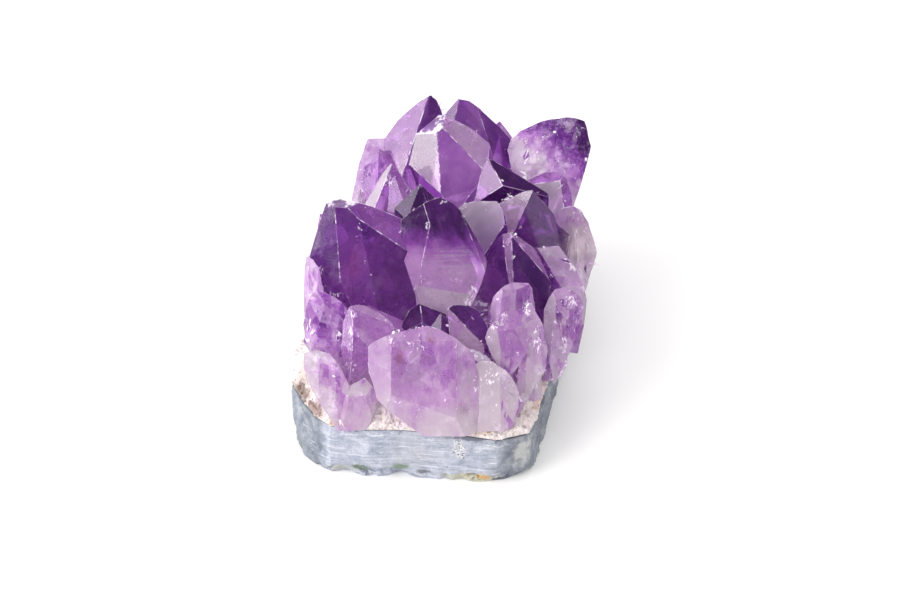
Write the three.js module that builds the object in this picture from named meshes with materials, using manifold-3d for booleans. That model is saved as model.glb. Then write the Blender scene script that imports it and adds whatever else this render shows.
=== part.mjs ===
// Amethyst cluster: a hand-sized piece of geode wall.
// A crowd of six-sided quartz points stands on a cream crust of fine quartz,
// and the crust lies on a slab of blue-grey host rock with sawn front and broken sides.
// Millimetres, +Z up. The long axis runs along Y, the sawn front looks toward -Y,
// and the origin is under the middle of the piece, on the surface it stands on.
import * as THREE from "three";
import { mergeVertices } from "three/addons/utils/BufferGeometryUtils.js";
import { ConvexGeometry } from "three/addons/geometries/ConvexGeometry.js";
import Module from "manifold-3d";

const wasm = await Module();
wasm.setup();

// ---- driving dimensions, mm ------------------------------------------------
const GAP = 0.3; // kept between the rock, the crust and the crystals
const CENTRE = [-11.263, 54.666]; // middle of the piece in the survey grid used by the tables below
const ROCK_TOP = 15.2; // height of the rock's upper surface at the front edge
const ROCK_TOP_DROP = 1.9; // how much lower the right front corner is
const ROCK_FOOT_INSET = 2.2; // the underside is this much smaller all round
const CRUST_EDGE = 1.9; // thickness of the crust at its rim
const CRUST_RISE = 6.2; // how far the crust climbs toward the middle
const CRYSTAL_FLOOR = 16.2; // no crystal reaches below this height
const MASSIVE_TOP = 31; // top of the massive quartz that the points grow from

// Outline of the slab seen from above, in the survey grid, anticlockwise from the left front corner.
const OUTLINE = [[-31.2, -2.3], [-21.1, -1.8], [-12.2, -0.1], [-4.2, 0.7], [3.7, 1.6], [11.7, 2.9], [19.3, 8.2], [20.4, 16.6], [20.8, 30.0], [20.6, 48.3], [20.5, 59.6], [20.2, 70.8], [19.1, 87.9], [16.6, 99.6], [8.9, 107.2], [-10.7, 108.1], [-30.1, 103.0], [-40.4, 93.7], [-44.8, 78.4], [-46.4, 59.7], [-48.1, 38.8], [-48.3, 20.4], [-45.7, 12.8], [-35.9, 0.5]];

// Each crystal: the point where its end faces meet, its long axis, a side
// direction that azimuth 0 starts from, six end faces and six prism faces.
// An end face is [azimuth, angle from the axis, distance of the plane below the point];
// a prism face is [azimuth, angle from the axis, distance from the point's axis].
const CRYSTALS = [
  { tip: [-38.27, 34.8, 60.59], axis: [-0.2895, -0.2346, 0.928], side: [-0.4976, -0.7913, -0.3553],
    pyr: [[-0.5,49.8,0.41],[59.6,52.4,0.24],[119.9,53.0,-0.84],[180.2,49.0,0.81],[240.0,51.8,0.0],[300.8,52.8,-1.03]],
    pri: [[0.0,90.0,13.0],[60.0,90.0,22.0],[120.0,90.0,26.0],[180.0,90.0,20.0],[240.0,90.0,12.0],[300.0,90.0,12.0]] },
  { tip: [-10.54, 45.81, 56.71], axis: [0.0487, 0.3715, 0.9272], side: [-0.5107, -0.7885, 0.3427],
    pyr: [[-0.2,50.9,-0.75],[61.0,55.4,-0.41],[120.9,51.7,-0.39],[177.6,56.0,-2.26],[240.0,51.8,0.0],[301.3,51.7,-2.99]],
    pri: [[0.1,92.8,13.09],[59.3,87.7,10.28],[120.0,90.0,11.0],[180.0,90.0,11.0],[240.0,90.0,11.0],[300.0,90.0,11.0]] },
  { tip: [-19.68, 75.56, 62.11], axis: [-0.0317, -0.2686, 0.9627], side: [-0.4037, -0.8777, -0.2582],
    pyr: [[1.7,53.9,0.22],[60.7,51.4,0.41],[120.7,49.9,0.44],[180.1,49.5,-1.14],[240.0,51.8,0.0],[301.0,50.4,-2.31]],
    pri: [[-4.2,89.5,8.89],[60.0,90.0,11.0],[120.0,90.0,13.0],[180.0,90.0,14.0],[240.0,90.0,11.0],[300.0,90.0,11.0]] },
  { tip: [-23.85, 86.94, 63.28], axis: [-0.1093, 0.0407, 0.9932], side: [-0.8097, -0.5832, -0.0652],
    pyr: [[-0.1,45.1,-0.18],[61.0,58.6,0.07],[120.4,44.6,-0.08],[180.0,51.8,0.0],[240.0,51.8,0.0],[298.7,48.0,-0.63]],
    pri: [[0.0,90.0,14.0],[60.0,90.0,12.0],[120.0,90.0,9.0],[180.0,90.0,9.0],[240.0,90.0,12.0],[300.0,90.0,14.0]] },
  { tip: [-16.52, 96.68, 57.98], axis: [0.0975, 0.0356, 0.9946], side: [-0.3652, -0.9283, 0.069],
    pyr: [[2.0,56.2,0.14],[60.4,44.5,0.4],[117.0,54.8,-1.48],[180.6,50.4,-0.9],[240.0,51.8,0.0],[300.0,50.8,-0.92]],
    pri: [[0.0,90.0,11.0],[60.0,90.0,11.0],[120.0,90.0,14.0],[180.0,90.0,15.0],[240.0,90.0,11.0],[300.0,90.0,11.0]] },
  { tip: [-3.84, 68.7, 56.19], axis: [-0.0816, 0.05, 0.9954], side: [0.3961, -0.9149, 0.0784],
    pyr: [[-5.0,55.8,0.04],[69.0,58.2,0.12],[119.6,42.3,-0.17],[180.0,51.8,0.0],[240.0,51.8,0.0],[299.7,49.1,-0.21]],
    pri: [[6.3,88.3,4.45],[50.4,84.5,4.05],[120.0,90.0,9.0],[180.0,90.0,9.0],[240.0,90.0,9.0],[300.0,90.0,9.0]] },
  { tip: [9.3, 63.32, 51.09], axis: [0.0706, -0.1807, 0.981], side: [-0.7022, -0.7075, -0.0798],
    pyr: [[-3.1,53.0,0.26],[64.7,60.6,0.01],[119.0,38.4,0.11],[180.0,51.8,0.0],[240.0,51.8,0.0],[299.6,40.0,-0.82]],
    pri: [[0.0,90.0,17.0],[60.5,93.2,11.44],[119.2,83.5,10.1],[180.0,90.0,9.0],[240.0,90.0,12.0],[300.0,90.0,17.0]] },
  { tip: [7.13, 44.45, 49.05], axis: [-0.1306, 0.0043, 0.9914], side: [-0.8792, -0.4627, -0.1138],
    pyr: [[8.8,64.5,-1.79],[58.6,40.5,-0.04],[117.6,52.5,-0.03],[173.4,58.0,-0.04],[240.6,47.1,-0.9],[301.2,57.2,-3.86]],
    pri: [[0.0,90.0,8.0],[60.0,90.0,12.0],[120.0,90.0,12.0],[180.0,90.0,10.0],[240.0,90.0,9.0],[300.0,90.0,9.0]] },
  { tip: [18.67, 51.0, 43.14], axis: [0.2077, -0.0199, 0.978], side: [0.0385, -0.9989, -0.0285],
    pyr: [[-3.2,63.9,-1.25],[57.1,37.2,3.08],[123.1,46.7,0.29],[180.0,51.8,0.0],[240.0,51.8,0.0],[303.0,25.6,-1.12]],
    pri: [[0.0,90.0,8.0],[60.0,90.0,8.0],[120.0,90.0,8.0],[180.0,90.0,8.0],[240.0,90.0,8.0],[300.0,90.0,8.0]] },
  { tip: [-6.37, 26.25, 36.06], axis: [-0.548, -0.1356, 0.8254], side: [-0.5009, -0.7371, -0.4537],
    pyr: [[-0.7,46.8,-0.08],[56.3,53.7,-0.04],[121.3,56.3,0.13],[180.2,39.6,-0.16],[240.0,51.8,0.0],[300.0,51.8,0.0]],
    pri: [[0.0,90.0,8.0],[63.9,84.6,6.59],[119.0,97.3,7.75],[180.0,90.0,8.0],[240.0,90.0,8.0],[300.0,90.0,8.0]] },
  { tip: [-13.23, 23.77, 39.03], axis: [-0.1199, 0.1514, 0.9812], side: [-0.6243, -0.7799, 0.044],
    pyr: [[0.0,51.8,0.0],[60.0,51.8,0.0],[120.0,51.8,0.0],[180.0,51.8,0.0],[240.0,51.8,0.0],[300.0,51.8,0.0]],
    pri: [[0.0,90.0,10.0],[60.0,90.0,10.0],[120.0,90.0,10.0],[180.0,90.0,10.0],[240.0,90.0,10.0],[300.0,90.0,10.0]] },
  { tip: [-7.47, 23.97, 36.57], axis: [-0.0181, 0.0853, 0.9962], side: [-0.3097, -0.9478, 0.0755],
    pyr: [[0.0,51.8,0.0],[60.0,51.8,0.0],[120.0,51.8,0.0],[180.0,51.8,0.0],[240.0,51.8,0.0],[300.0,51.8,0.0]],
    pri: [[0.0,90.0,5.0],[60.0,90.0,5.0],[120.0,90.0,5.0],[180.0,90.0,5.0],[240.0,90.0,5.0],[300.0,90.0,5.0]] },
  { tip: [-29.53, 14.17, 43.09], axis: [-0.2746, -0.4172, 0.8664], side: [-0.7174, -0.511, -0.4734],
    pyr: [[-5.9,62.8,0.14],[64.8,57.7,0.89],[119.7,43.5,-0.86],[180.0,51.8,0.0],[240.0,51.8,0.0],[301.3,39.3,-0.01]],
    pri: [[0.0,90.0,14.0],[60.0,90.0,10.0],[120.0,90.0,10.0],[180.0,90.0,10.0],[240.0,90.0,10.0],[300.0,90.0,14.0]] },
  { tip: [-39.0, 16.25, 43.97], axis: [-0.3664, -0.0779, 0.9272], side: [-0.6815, -0.656, -0.3244],
    pyr: [[0.0,51.8,0.0],[60.0,51.8,0.0],[120.0,51.8,0.0],[180.0,51.8,0.0],[240.0,51.8,0.0],[300.0,51.8,0.0]],
    pri: [[0.0,90.0,8.0],[60.0,90.0,8.0],[120.0,90.0,8.0],[180.0,90.0,8.0],[240.0,90.0,8.0],[300.0,90.0,8.0]] },
  { tip: [-44.65, 29.36, 45.47], axis: [-0.5323, -0.0375, 0.8457], side: [-0.5268, -0.7673, -0.3656],
    pyr: [[0.0,51.8,0.0],[60.0,51.8,0.0],[120.0,51.8,0.0],[180.0,51.8,0.0],[240.0,51.8,0.0],[300.0,51.8,0.0]],
    pri: [[0.0,90.0,7.0],[60.0,90.0,7.0],[120.0,90.0,7.0],[180.0,90.0,7.0],[240.0,90.0,7.0],[300.0,90.0,7.0]] },
  { tip: [-45.13, 45.61, 48.0], axis: [-0.5034, -0.0298, 0.8636], side: [-0.5394, -0.7699, -0.341],
    pyr: [[0.0,51.8,0.0],[60.0,51.8,0.0],[120.0,51.8,0.0],[180.0,51.8,0.0],[240.0,51.8,0.0],[300.0,51.8,0.0]],
    pri: [[0.0,90.0,6.0],[60.0,90.0,6.0],[120.0,90.0,6.0],[180.0,90.0,6.0],[240.0,90.0,6.0],[300.0,90.0,6.0]] },
  { tip: [-9.6, 11.25, 41.65], axis: [-0.0495, 0.1962, 0.9793], side: [-0.6661, -0.7371, 0.114],
    pyr: [[1.1,36.5,-0.44],[60.9,63.9,0.46],[117.9,31.7,-0.29],[180.0,51.8,0.0],[240.0,51.8,0.0],[300.0,51.8,0.0]],
    pri: [[0.0,89.0,9.94],[60.1,90.0,5.47],[120.0,91.5,13.99],[180.0,90.0,11.0],[240.0,90.0,11.0],[300.0,90.0,11.0]] },
  { tip: [19.31, 98.16, 52.43], axis: [0.6897, 0.2086, 0.6934], side: [-0.2451, -0.8338, 0.4947],
    pyr: [[0.0,51.8,0.0],[60.0,51.8,0.0],[120.0,51.8,0.0],[180.0,51.8,0.0],[240.0,51.8,0.0],[300.0,51.8,0.0]],
    pri: [[0.0,90.0,11.0],[60.0,90.0,11.0],[120.0,90.0,11.0],[180.0,90.0,11.0],[240.0,90.0,11.0],[300.0,90.0,11.0]] },
  { tip: [-29.73, 63.2, 55.24], axis: [-0.1506, 0.08, 0.9854], side: [-0.8253, -0.5588, -0.0807],
    pyr: [[0.1,47.9,0.3],[50.1,60.2,-0.37],[119.6,53.6,-0.27],[180.0,51.8,0.0],[240.0,51.8,0.0],[300.0,51.8,0.0]],
    pri: [[0.0,90.0,9.0],[70.3,83.1,4.7],[120.0,90.0,9.0],[180.0,90.0,9.0],[240.0,90.0,9.0],[300.0,90.0,9.0]] },
  { tip: [-36.8, 73.97, 55.81], axis: [-0.2532, -0.0538, 0.9659], side: [-0.5901, -0.7826, -0.1983],
    pyr: [[0.0,51.8,0.0],[60.0,51.8,0.0],[120.0,51.8,0.0],[180.0,51.8,0.0],[240.0,51.8,0.0],[300.0,51.8,0.0]],
    pri: [[0.0,90.0,7.0],[60.0,90.0,7.0],[120.0,90.0,7.0],[180.0,90.0,7.0],[240.0,90.0,7.0],[300.0,90.0,7.0]] },
  { tip: [14.17, 78.66, 48.24], axis: [0.2532, 0.0538, 0.9659], side: [-0.7143, -0.663, 0.2241],
    pyr: [[0.0,51.8,0.0],[60.0,51.8,0.0],[120.0,51.8,0.0],[180.0,51.8,0.0],[240.0,51.8,0.0],[300.0,51.8,0.0]],
    pri: [[0.0,90.0,8.0],[60.0,90.0,8.0],[120.0,90.0,8.0],[180.0,90.0,8.0],[240.0,90.0,8.0],[300.0,90.0,8.0]] },
  { tip: [20.49, 71.83, 42.01], axis: [0.4134, 0.0879, 0.9063], side: [-0.6638, -0.6523, 0.366],
    pyr: [[0.0,51.8,0.0],[60.0,51.8,0.0],[120.0,51.8,0.0],[180.0,51.8,0.0],[240.0,51.8,0.0],[300.0,51.8,0.0]],
    pri: [[0.0,90.0,8.0],[60.0,90.0,8.0],[120.0,90.0,8.0],[180.0,90.0,8.0],[240.0,90.0,8.0],[300.0,90.0,8.0]] },
  { tip: [27.63, 61.08, 35.69], axis: [0.8295, 0.1763, 0.5299], side: [-0.3449, -0.5845, 0.7344],
    pyr: [[0.0,51.8,0.0],[60.0,51.8,0.0],[120.0,51.8,0.0],[180.0,51.8,0.0],[240.0,51.8,0.0],[300.0,51.8,0.0]],
    pri: [[0.0,90.0,6.0],[60.0,90.0,6.0],[120.0,90.0,6.0],[180.0,90.0,6.0],[240.0,90.0,6.0],[300.0,90.0,6.0]] },
  { tip: [-19.87, 55.07, 54.92], axis: [0.0, 0.0, 1.0], side: [-0.7431, -0.6691, 0.0],
    pyr: [[0.0,51.8,0.0],[60.0,51.8,0.0],[120.0,51.8,0.0],[180.0,51.8,0.0],[240.0,51.8,0.0],[300.0,51.8,0.0]],
    pri: [[0.0,90.0,6.0],[60.0,90.0,6.0],[120.0,90.0,6.0],[180.0,90.0,6.0],[240.0,90.0,6.0],[300.0,90.0,6.0]] },
  { tip: [-4.67, 55.24, 52.11], axis: [-0.176, 0.1732, 0.969], side: [-0.7285, -0.685, -0.0099],
    pyr: [[0.0,51.8,0.0],[60.0,51.8,0.0],[120.0,51.8,0.0],[180.0,51.8,0.0],[240.0,51.8,0.0],[300.0,51.8,0.0]],
    pri: [[0.0,90.0,11.0],[60.0,90.0,11.0],[120.0,90.0,11.0],[180.0,90.0,11.0],[240.0,90.0,11.0],[300.0,90.0,11.0]] },
  { tip: [11.04, 30.97, 44.26], axis: [0.1022, 0.0217, 0.9945], side: [-0.3063, -0.9505, 0.0523],
    pyr: [[0.0,51.8,0.0],[60.0,51.8,0.0],[120.0,51.8,0.0],[180.0,51.8,0.0],[240.0,51.8,0.0],[300.0,51.8,0.0]],
    pri: [[0.0,90.0,6.0],[60.0,90.0,6.0],[120.0,90.0,6.0],[180.0,90.0,6.0],[240.0,90.0,6.0],[300.0,90.0,6.0]] },
  { tip: [9.94, 20.51, 40.46], axis: [0.0627, -0.1289, 0.9897], side: [-0.4743, -0.8764, -0.0841],
    pyr: [[0.0,51.8,0.0],[60.0,51.8,0.0],[120.0,51.8,0.0],[180.0,51.8,0.0],[240.0,51.8,0.0],[300.0,51.8,0.0]],
    pri: [[0.0,90.0,5.5],[60.0,90.0,5.5],[120.0,90.0,5.5],[180.0,90.0,5.5],[240.0,90.0,5.5],[300.0,90.0,5.5]] },
  { tip: [17.35, 24.13, 38.66], axis: [0.2366, 0.0503, 0.9703], side: [-0.718, -0.6638, 0.2095],
    pyr: [[0.0,51.8,0.0],[60.0,51.8,0.0],[120.0,51.8,0.0],[180.0,51.8,0.0],[240.0,51.8,0.0],[300.0,51.8,0.0]],
    pri: [[0.0,90.0,5.0],[60.0,90.0,5.0],[120.0,90.0,5.0],[180.0,90.0,5.0],[240.0,90.0,5.0],[300.0,90.0,5.0]] },
  { tip: [21.29, 41.33, 36.95], axis: [0.2532, 0.0538, 0.9659], side: [-0.448, -0.8784, 0.1664],
    pyr: [[0.0,51.8,0.0],[60.0,51.8,0.0],[120.0,51.8,0.0],[180.0,51.8,0.0],[240.0,51.8,0.0],[300.0,51.8,0.0]],
    pri: [[0.0,90.0,6.5],[60.0,90.0,6.5],[120.0,90.0,6.5],[180.0,90.0,6.5],[240.0,90.0,6.5],[300.0,90.0,6.5]] },
  { tip: [7.71, 9.82, 33.74], axis: [0.0109, -0.0512, 0.9986], side: [-0.7433, -0.6685, -0.0262],
    pyr: [[0.0,51.8,0.0],[60.0,51.8,0.0],[120.0,51.8,0.0],[180.0,51.8,0.0],[240.0,51.8,0.0],[300.0,51.8,0.0]],
    pri: [[0.0,90.0,5.5],[60.0,90.0,5.5],[120.0,90.0,5.5],[180.0,90.0,5.5],[240.0,90.0,5.5],[300.0,90.0,5.5]] },
  { tip: [13.11, 8.92, 28.25], axis: [0.0538, -0.2532, 0.9659], side: [-0.7467, -0.6525, -0.1294],
    pyr: [[0.0,51.8,0.0],[60.0,51.8,0.0],[120.0,51.8,0.0],[180.0,51.8,0.0],[240.0,51.8,0.0],[300.0,51.8,0.0]],
    pri: [[0.0,90.0,3.5],[60.0,90.0,3.5],[120.0,90.0,3.5],[180.0,90.0,3.5],[240.0,90.0,3.5],[300.0,90.0,3.5]] },
  { tip: [-34.54, 5.95, 33.72], axis: [-0.1849, -0.1265, 0.9746], side: [-0.7163, -0.6616, -0.2218],
    pyr: [[0.0,51.8,0.0],[60.0,51.8,0.0],[120.0,51.8,0.0],[180.0,51.8,0.0],[240.0,51.8,0.0],[300.0,51.8,0.0]],
    pri: [[0.0,90.0,7.0],[60.0,90.0,7.0],[120.0,90.0,7.0],[180.0,90.0,7.0],[240.0,90.0,7.0],[300.0,90.0,7.0]] },
  { tip: [-23.29, 2.21, 27.45], axis: [0.0361, -0.1699, 0.9848], side: [-0.7447, -0.6617, -0.0868],
    pyr: [[0.0,51.8,0.0],[60.0,51.8,0.0],[120.0,51.8,0.0],[180.0,51.8,0.0],[240.0,51.8,0.0],[300.0,51.8,0.0]],
    pri: [[0.0,90.0,4.5],[60.0,90.0,4.5],[120.0,90.0,4.5],[180.0,90.0,4.5],[240.0,90.0,4.5],[300.0,90.0,4.5]] },
  { tip: [-31.76, 4.5, 34.61], axis: [-0.0853, -0.0181, 0.9962], side: [-0.4671, -0.8824, -0.056],
    pyr: [[0.0,51.8,0.0],[60.0,51.8,0.0],[120.0,51.8,0.0],[180.0,51.8,0.0],[240.0,51.8,0.0],[300.0,51.8,0.0]],
    pri: [[0.0,90.0,5.0],[60.0,90.0,5.0],[120.0,90.0,5.0],[180.0,90.0,5.0],[240.0,90.0,5.0],[300.0,90.0,5.0]] },
  { tip: [-7.58, 104.71, 46.88], axis: [0.1062, 0.1635, 0.9808], side: [-0.7265, -0.6607, 0.1888],
    pyr: [[0.0,51.8,0.0],[60.0,51.8,0.0],[120.0,51.8,0.0],[180.0,51.8,0.0],[240.0,51.8,0.0],[300.0,51.8,0.0]],
    pri: [[0.0,90.0,6.0],[60.0,90.0,6.0],[120.0,90.0,6.0],[180.0,90.0,6.0],[240.0,90.0,6.0],[300.0,90.0,6.0]] },
  { tip: [-32.53, 95.32, 50.0], axis: [-0.2347, 0.3281, 0.915], side: [-0.7143, -0.6967, 0.0666],
    pyr: [[0.0,51.8,0.0],[60.0,51.8,0.0],[120.0,51.8,0.0],[180.0,51.8,0.0],[240.0,51.8,0.0],[300.0,51.8,0.0]],
    pri: [[0.0,90.0,8.0],[60.0,90.0,8.0],[120.0,90.0,8.0],[180.0,90.0,8.0],[240.0,90.0,8.0],[300.0,90.0,8.0]] },
  { tip: [-19.87, 103.12, 43.0], axis: [-0.1102, 0.5183, 0.848], side: [-0.4937, -0.7691, 0.4059],
    pyr: [[0.0,51.8,0.0],[60.0,51.8,0.0],[120.0,51.8,0.0],[180.0,51.8,0.0],[240.0,51.8,0.0],[300.0,51.8,0.0]],
    pri: [[0.0,90.0,8.0],[60.0,90.0,8.0],[120.0,90.0,8.0],[180.0,90.0,8.0],[240.0,90.0,8.0],[300.0,90.0,8.0]] },
  { tip: [-6.18, 106.03, 42.0], axis: [0.0064, 0.5393, 0.8421], side: [-0.7146, -0.5866, 0.3811],
    pyr: [[0.0,51.8,0.0],[60.0,51.8,0.0],[120.0,51.8,0.0],[180.0,51.8,0.0],[240.0,51.8,0.0],[300.0,51.8,0.0]],
    pri: [[0.0,90.0,8.0],[60.0,90.0,8.0],[120.0,90.0,8.0],[180.0,90.0,8.0],[240.0,90.0,8.0],[300.0,90.0,8.0]] },
  { tip: [7.37, 104.82, 38.0], axis: [0.2367, 0.5024, 0.8316], side: [-0.3949, -0.7323, 0.5548],
    pyr: [[0.0,51.8,0.0],[60.0,51.8,0.0],[120.0,51.8,0.0],[180.0,51.8,0.0],[240.0,51.8,0.0],[300.0,51.8,0.0]],
    pri: [[0.0,90.0,8.0],[60.0,90.0,8.0],[120.0,90.0,8.0],[180.0,90.0,8.0],[240.0,90.0,8.0],[300.0,90.0,8.0]] },
  { tip: [-41.06, 87.37, 41.0], axis: [-0.4947, 0.1302, 0.8592], side: [-0.5995, -0.7669, -0.229],
    pyr: [[0.0,51.8,0.0],[60.0,51.8,0.0],[120.0,51.8,0.0],[180.0,51.8,0.0],[240.0,51.8,0.0],[300.0,51.8,0.0]],
    pri: [[0.0,90.0,7.0],[60.0,90.0,7.0],[120.0,90.0,7.0],[180.0,90.0,7.0],[240.0,90.0,7.0],[300.0,90.0,7.0]] },
  { tip: [-27.55, 105.58, 30.0], axis: [-0.2114, 0.7135, 0.668], side: [-0.8058, -0.514, 0.294],
    pyr: [[0.0,51.8,0.0],[60.0,51.8,0.0],[120.0,51.8,0.0],[180.0,51.8,0.0],[240.0,51.8,0.0],[300.0,51.8,0.0]],
    pri: [[0.0,90.0,7.0],[60.0,90.0,7.0],[120.0,90.0,7.0],[180.0,90.0,7.0],[240.0,90.0,7.0],[300.0,90.0,7.0]] },
  { tip: [-12.11, 109.88, 29.0], axis: [-0.0971, 0.7378, 0.668], side: [-0.3929, -0.6451, 0.6554],
    pyr: [[0.0,51.8,0.0],[60.0,51.8,0.0],[120.0,51.8,0.0],[180.0,51.8,0.0],[240.0,51.8,0.0],[300.0,51.8,0.0]],
    pri: [[0.0,90.0,7.0],[60.0,90.0,7.0],[120.0,90.0,7.0],[180.0,90.0,7.0],[240.0,90.0,7.0],[300.0,90.0,7.0]] },
  { tip: [1.02, 110.63, 27.0], axis: [0.1888, 0.6865, 0.7022], side: [-0.4076, -0.5958, 0.6921],
    pyr: [[0.0,51.8,0.0],[60.0,51.8,0.0],[120.0,51.8,0.0],[180.0,51.8,0.0],[240.0,51.8,0.0],[300.0,51.8,0.0]],
    pri: [[0.0,90.0,7.0],[60.0,90.0,7.0],[120.0,90.0,7.0],[180.0,90.0,7.0],[240.0,90.0,7.0],[300.0,90.0,7.0]] },
  { tip: [-37.84, 96.24, 30.0], axis: [-0.4517, 0.5504, 0.7022], side: [-0.8179, -0.5699, -0.0795],
    pyr: [[0.0,51.8,0.0],[60.0,51.8,0.0],[120.0,51.8,0.0],[180.0,51.8,0.0],[240.0,51.8,0.0],[300.0,51.8,0.0]],
    pri: [[0.0,90.0,7.0],[60.0,90.0,7.0],[120.0,90.0,7.0],[180.0,90.0,7.0],[240.0,90.0,7.0],[300.0,90.0,7.0]] },
  { tip: [17.75, 89.65, 31.0], axis: [0.5256, 0.2579, 0.8107], side: [-0.5509, -0.623, 0.5553],
    pyr: [[0.0,51.8,0.0],[60.0,51.8,0.0],[120.0,51.8,0.0],[180.0,51.8,0.0],[240.0,51.8,0.0],[300.0,51.8,0.0]],
    pri: [[0.0,90.0,8.0],[60.0,90.0,8.0],[120.0,90.0,8.0],[180.0,90.0,8.0],[240.0,90.0,8.0],[300.0,90.0,8.0]] },
  { tip: [15.05, 102.37, 28.0], axis: [0.4673, 0.4205, 0.7777], side: [-0.2288, -0.7921, 0.5658],
    pyr: [[0.0,51.8,0.0],[60.0,51.8,0.0],[120.0,51.8,0.0],[180.0,51.8,0.0],[240.0,51.8,0.0],[300.0,51.8,0.0]],
    pri: [[0.0,90.0,8.0],[60.0,90.0,8.0],[120.0,90.0,8.0],[180.0,90.0,8.0],[240.0,90.0,8.0],[300.0,90.0,8.0]] },
  { tip: [23.39, 77.56, 27.0], axis: [0.6917, 0.147, 0.7071], side: [-0.3962, -0.7414, 0.5417],
    pyr: [[0.0,51.8,0.0],[60.0,51.8,0.0],[120.0,51.8,0.0],[180.0,51.8,0.0],[240.0,51.8,0.0],[300.0,51.8,0.0]],
    pri: [[0.0,90.0,7.0],[60.0,90.0,7.0],[120.0,90.0,7.0],[180.0,90.0,7.0],[240.0,90.0,7.0],[300.0,90.0,7.0]] },
  { tip: [21.76, 65.97, 26.0], axis: [0.6917, 0.147, 0.7071], side: [-0.495, -0.6164, 0.6124],
    pyr: [[0.0,51.8,0.0],[60.0,51.8,0.0],[120.0,51.8,0.0],[180.0,51.8,0.0],[240.0,51.8,0.0],[300.0,51.8,0.0]],
    pri: [[0.0,90.0,6.0],[60.0,90.0,6.0],[120.0,90.0,6.0],[180.0,90.0,6.0],[240.0,90.0,6.0],[300.0,90.0,6.0]] },
  { tip: [20.97, 50.46, 25.0], axis: [0.6287, 0.1336, 0.766], side: [-0.545, -0.627, 0.5567],
    pyr: [[0.0,51.8,0.0],[60.0,51.8,0.0],[120.0,51.8,0.0],[180.0,51.8,0.0],[240.0,51.8,0.0],[300.0,51.8,0.0]],
    pri: [[0.0,90.0,6.0],[60.0,90.0,6.0],[120.0,90.0,6.0],[180.0,90.0,6.0],[240.0,90.0,6.0],[300.0,90.0,6.0]] },
  { tip: [-41.59, 65.79, 39.0], axis: [-0.5034, -0.0298, 0.8636], side: [-0.6484, -0.6475, -0.4003],
    pyr: [[0.0,51.8,0.0],[60.0,51.8,0.0],[120.0,51.8,0.0],[180.0,51.8,0.0],[240.0,51.8,0.0],[300.0,51.8,0.0]],
    pri: [[0.0,90.0,8.0],[60.0,90.0,8.0],[120.0,90.0,8.0],[180.0,90.0,8.0],[240.0,90.0,8.0],[300.0,90.0,8.0]] },
  { tip: [-42.54, 79.9, 37.0], axis: [-0.5434, 0.0357, 0.8387], side: [-0.5525, -0.7674, -0.3253],
    pyr: [[0.0,51.8,0.0],[60.0,51.8,0.0],[120.0,51.8,0.0],[180.0,51.8,0.0],[240.0,51.8,0.0],[300.0,51.8,0.0]],
    pri: [[0.0,90.0,8.0],[60.0,90.0,8.0],[120.0,90.0,8.0],[180.0,90.0,8.0],[240.0,90.0,8.0],[300.0,90.0,8.0]] },
  { tip: [-48.67, 51.0, 38.0], axis: [-0.561, -0.1193, 0.8192], side: [-0.5899, -0.6366, -0.4967],
    pyr: [[0.0,51.8,0.0],[60.0,51.8,0.0],[120.0,51.8,0.0],[180.0,51.8,0.0],[240.0,51.8,0.0],[300.0,51.8,0.0]],
    pri: [[0.0,90.0,7.0],[60.0,90.0,7.0],[120.0,90.0,7.0],[180.0,90.0,7.0],[240.0,90.0,7.0],[300.0,90.0,7.0]] },
  { tip: [-47.92, 37.86, 27.0], axis: [-0.6917, -0.147, 0.7071], side: [-0.495, -0.6164, -0.6124],
    pyr: [[0.0,51.8,0.0],[60.0,51.8,0.0],[120.0,51.8,0.0],[180.0,51.8,0.0],[240.0,51.8,0.0],[300.0,51.8,0.0]],
    pri: [[0.0,90.0,6.0],[60.0,90.0,6.0],[120.0,90.0,6.0],[180.0,90.0,6.0],[240.0,90.0,6.0],[300.0,90.0,6.0]] },
  { tip: [-49.33, 73.35, 30.0], axis: [-0.7032, -0.0863, 0.7058], side: [-0.3183, -0.8493, -0.4211],
    pyr: [[0.0,51.8,0.0],[60.0,51.8,0.0],[120.0,51.8,0.0],[180.0,51.8,0.0],[240.0,51.8,0.0],[300.0,51.8,0.0]],
    pri: [[0.0,90.0,7.0],[60.0,90.0,7.0],[120.0,90.0,7.0],[180.0,90.0,7.0],[240.0,90.0,7.0],[300.0,90.0,7.0]] },
  { tip: [-50.12, 57.84, 27.0], axis: [-0.7269, -0.1545, 0.6691], side: [-0.4629, -0.6096, -0.6436],
    pyr: [[0.0,51.8,0.0],[60.0,51.8,0.0],[120.0,51.8,0.0],[180.0,51.8,0.0],[240.0,51.8,0.0],[300.0,51.8,0.0]],
    pri: [[0.0,90.0,6.0],[60.0,90.0,6.0],[120.0,90.0,6.0],[180.0,90.0,6.0],[240.0,90.0,6.0],[300.0,90.0,6.0]] },
  { tip: [-24.63, 58.15, 44.0], axis: [-0.103, 0.0669, 0.9924], side: [-0.5478, -0.8366, -0.0005],
    pyr: [[0.0,51.8,0.0],[60.0,51.8,0.0],[120.0,51.8,0.0],[180.0,51.8,0.0],[240.0,51.8,0.0],[300.0,51.8,0.0]],
    pri: [[0.0,90.0,10.0],[60.0,90.0,10.0],[120.0,90.0,10.0],[180.0,90.0,10.0],[240.0,90.0,10.0],[300.0,90.0,10.0]] },
  { tip: [5.3, 80.87, 42.0], axis: [0.1514, 0.1199, 0.9812], side: [-0.7234, -0.663, 0.1927],
    pyr: [[0.0,51.8,0.0],[60.0,51.8,0.0],[120.0,51.8,0.0],[180.0,51.8,0.0],[240.0,51.8,0.0],[300.0,51.8,0.0]],
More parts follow.
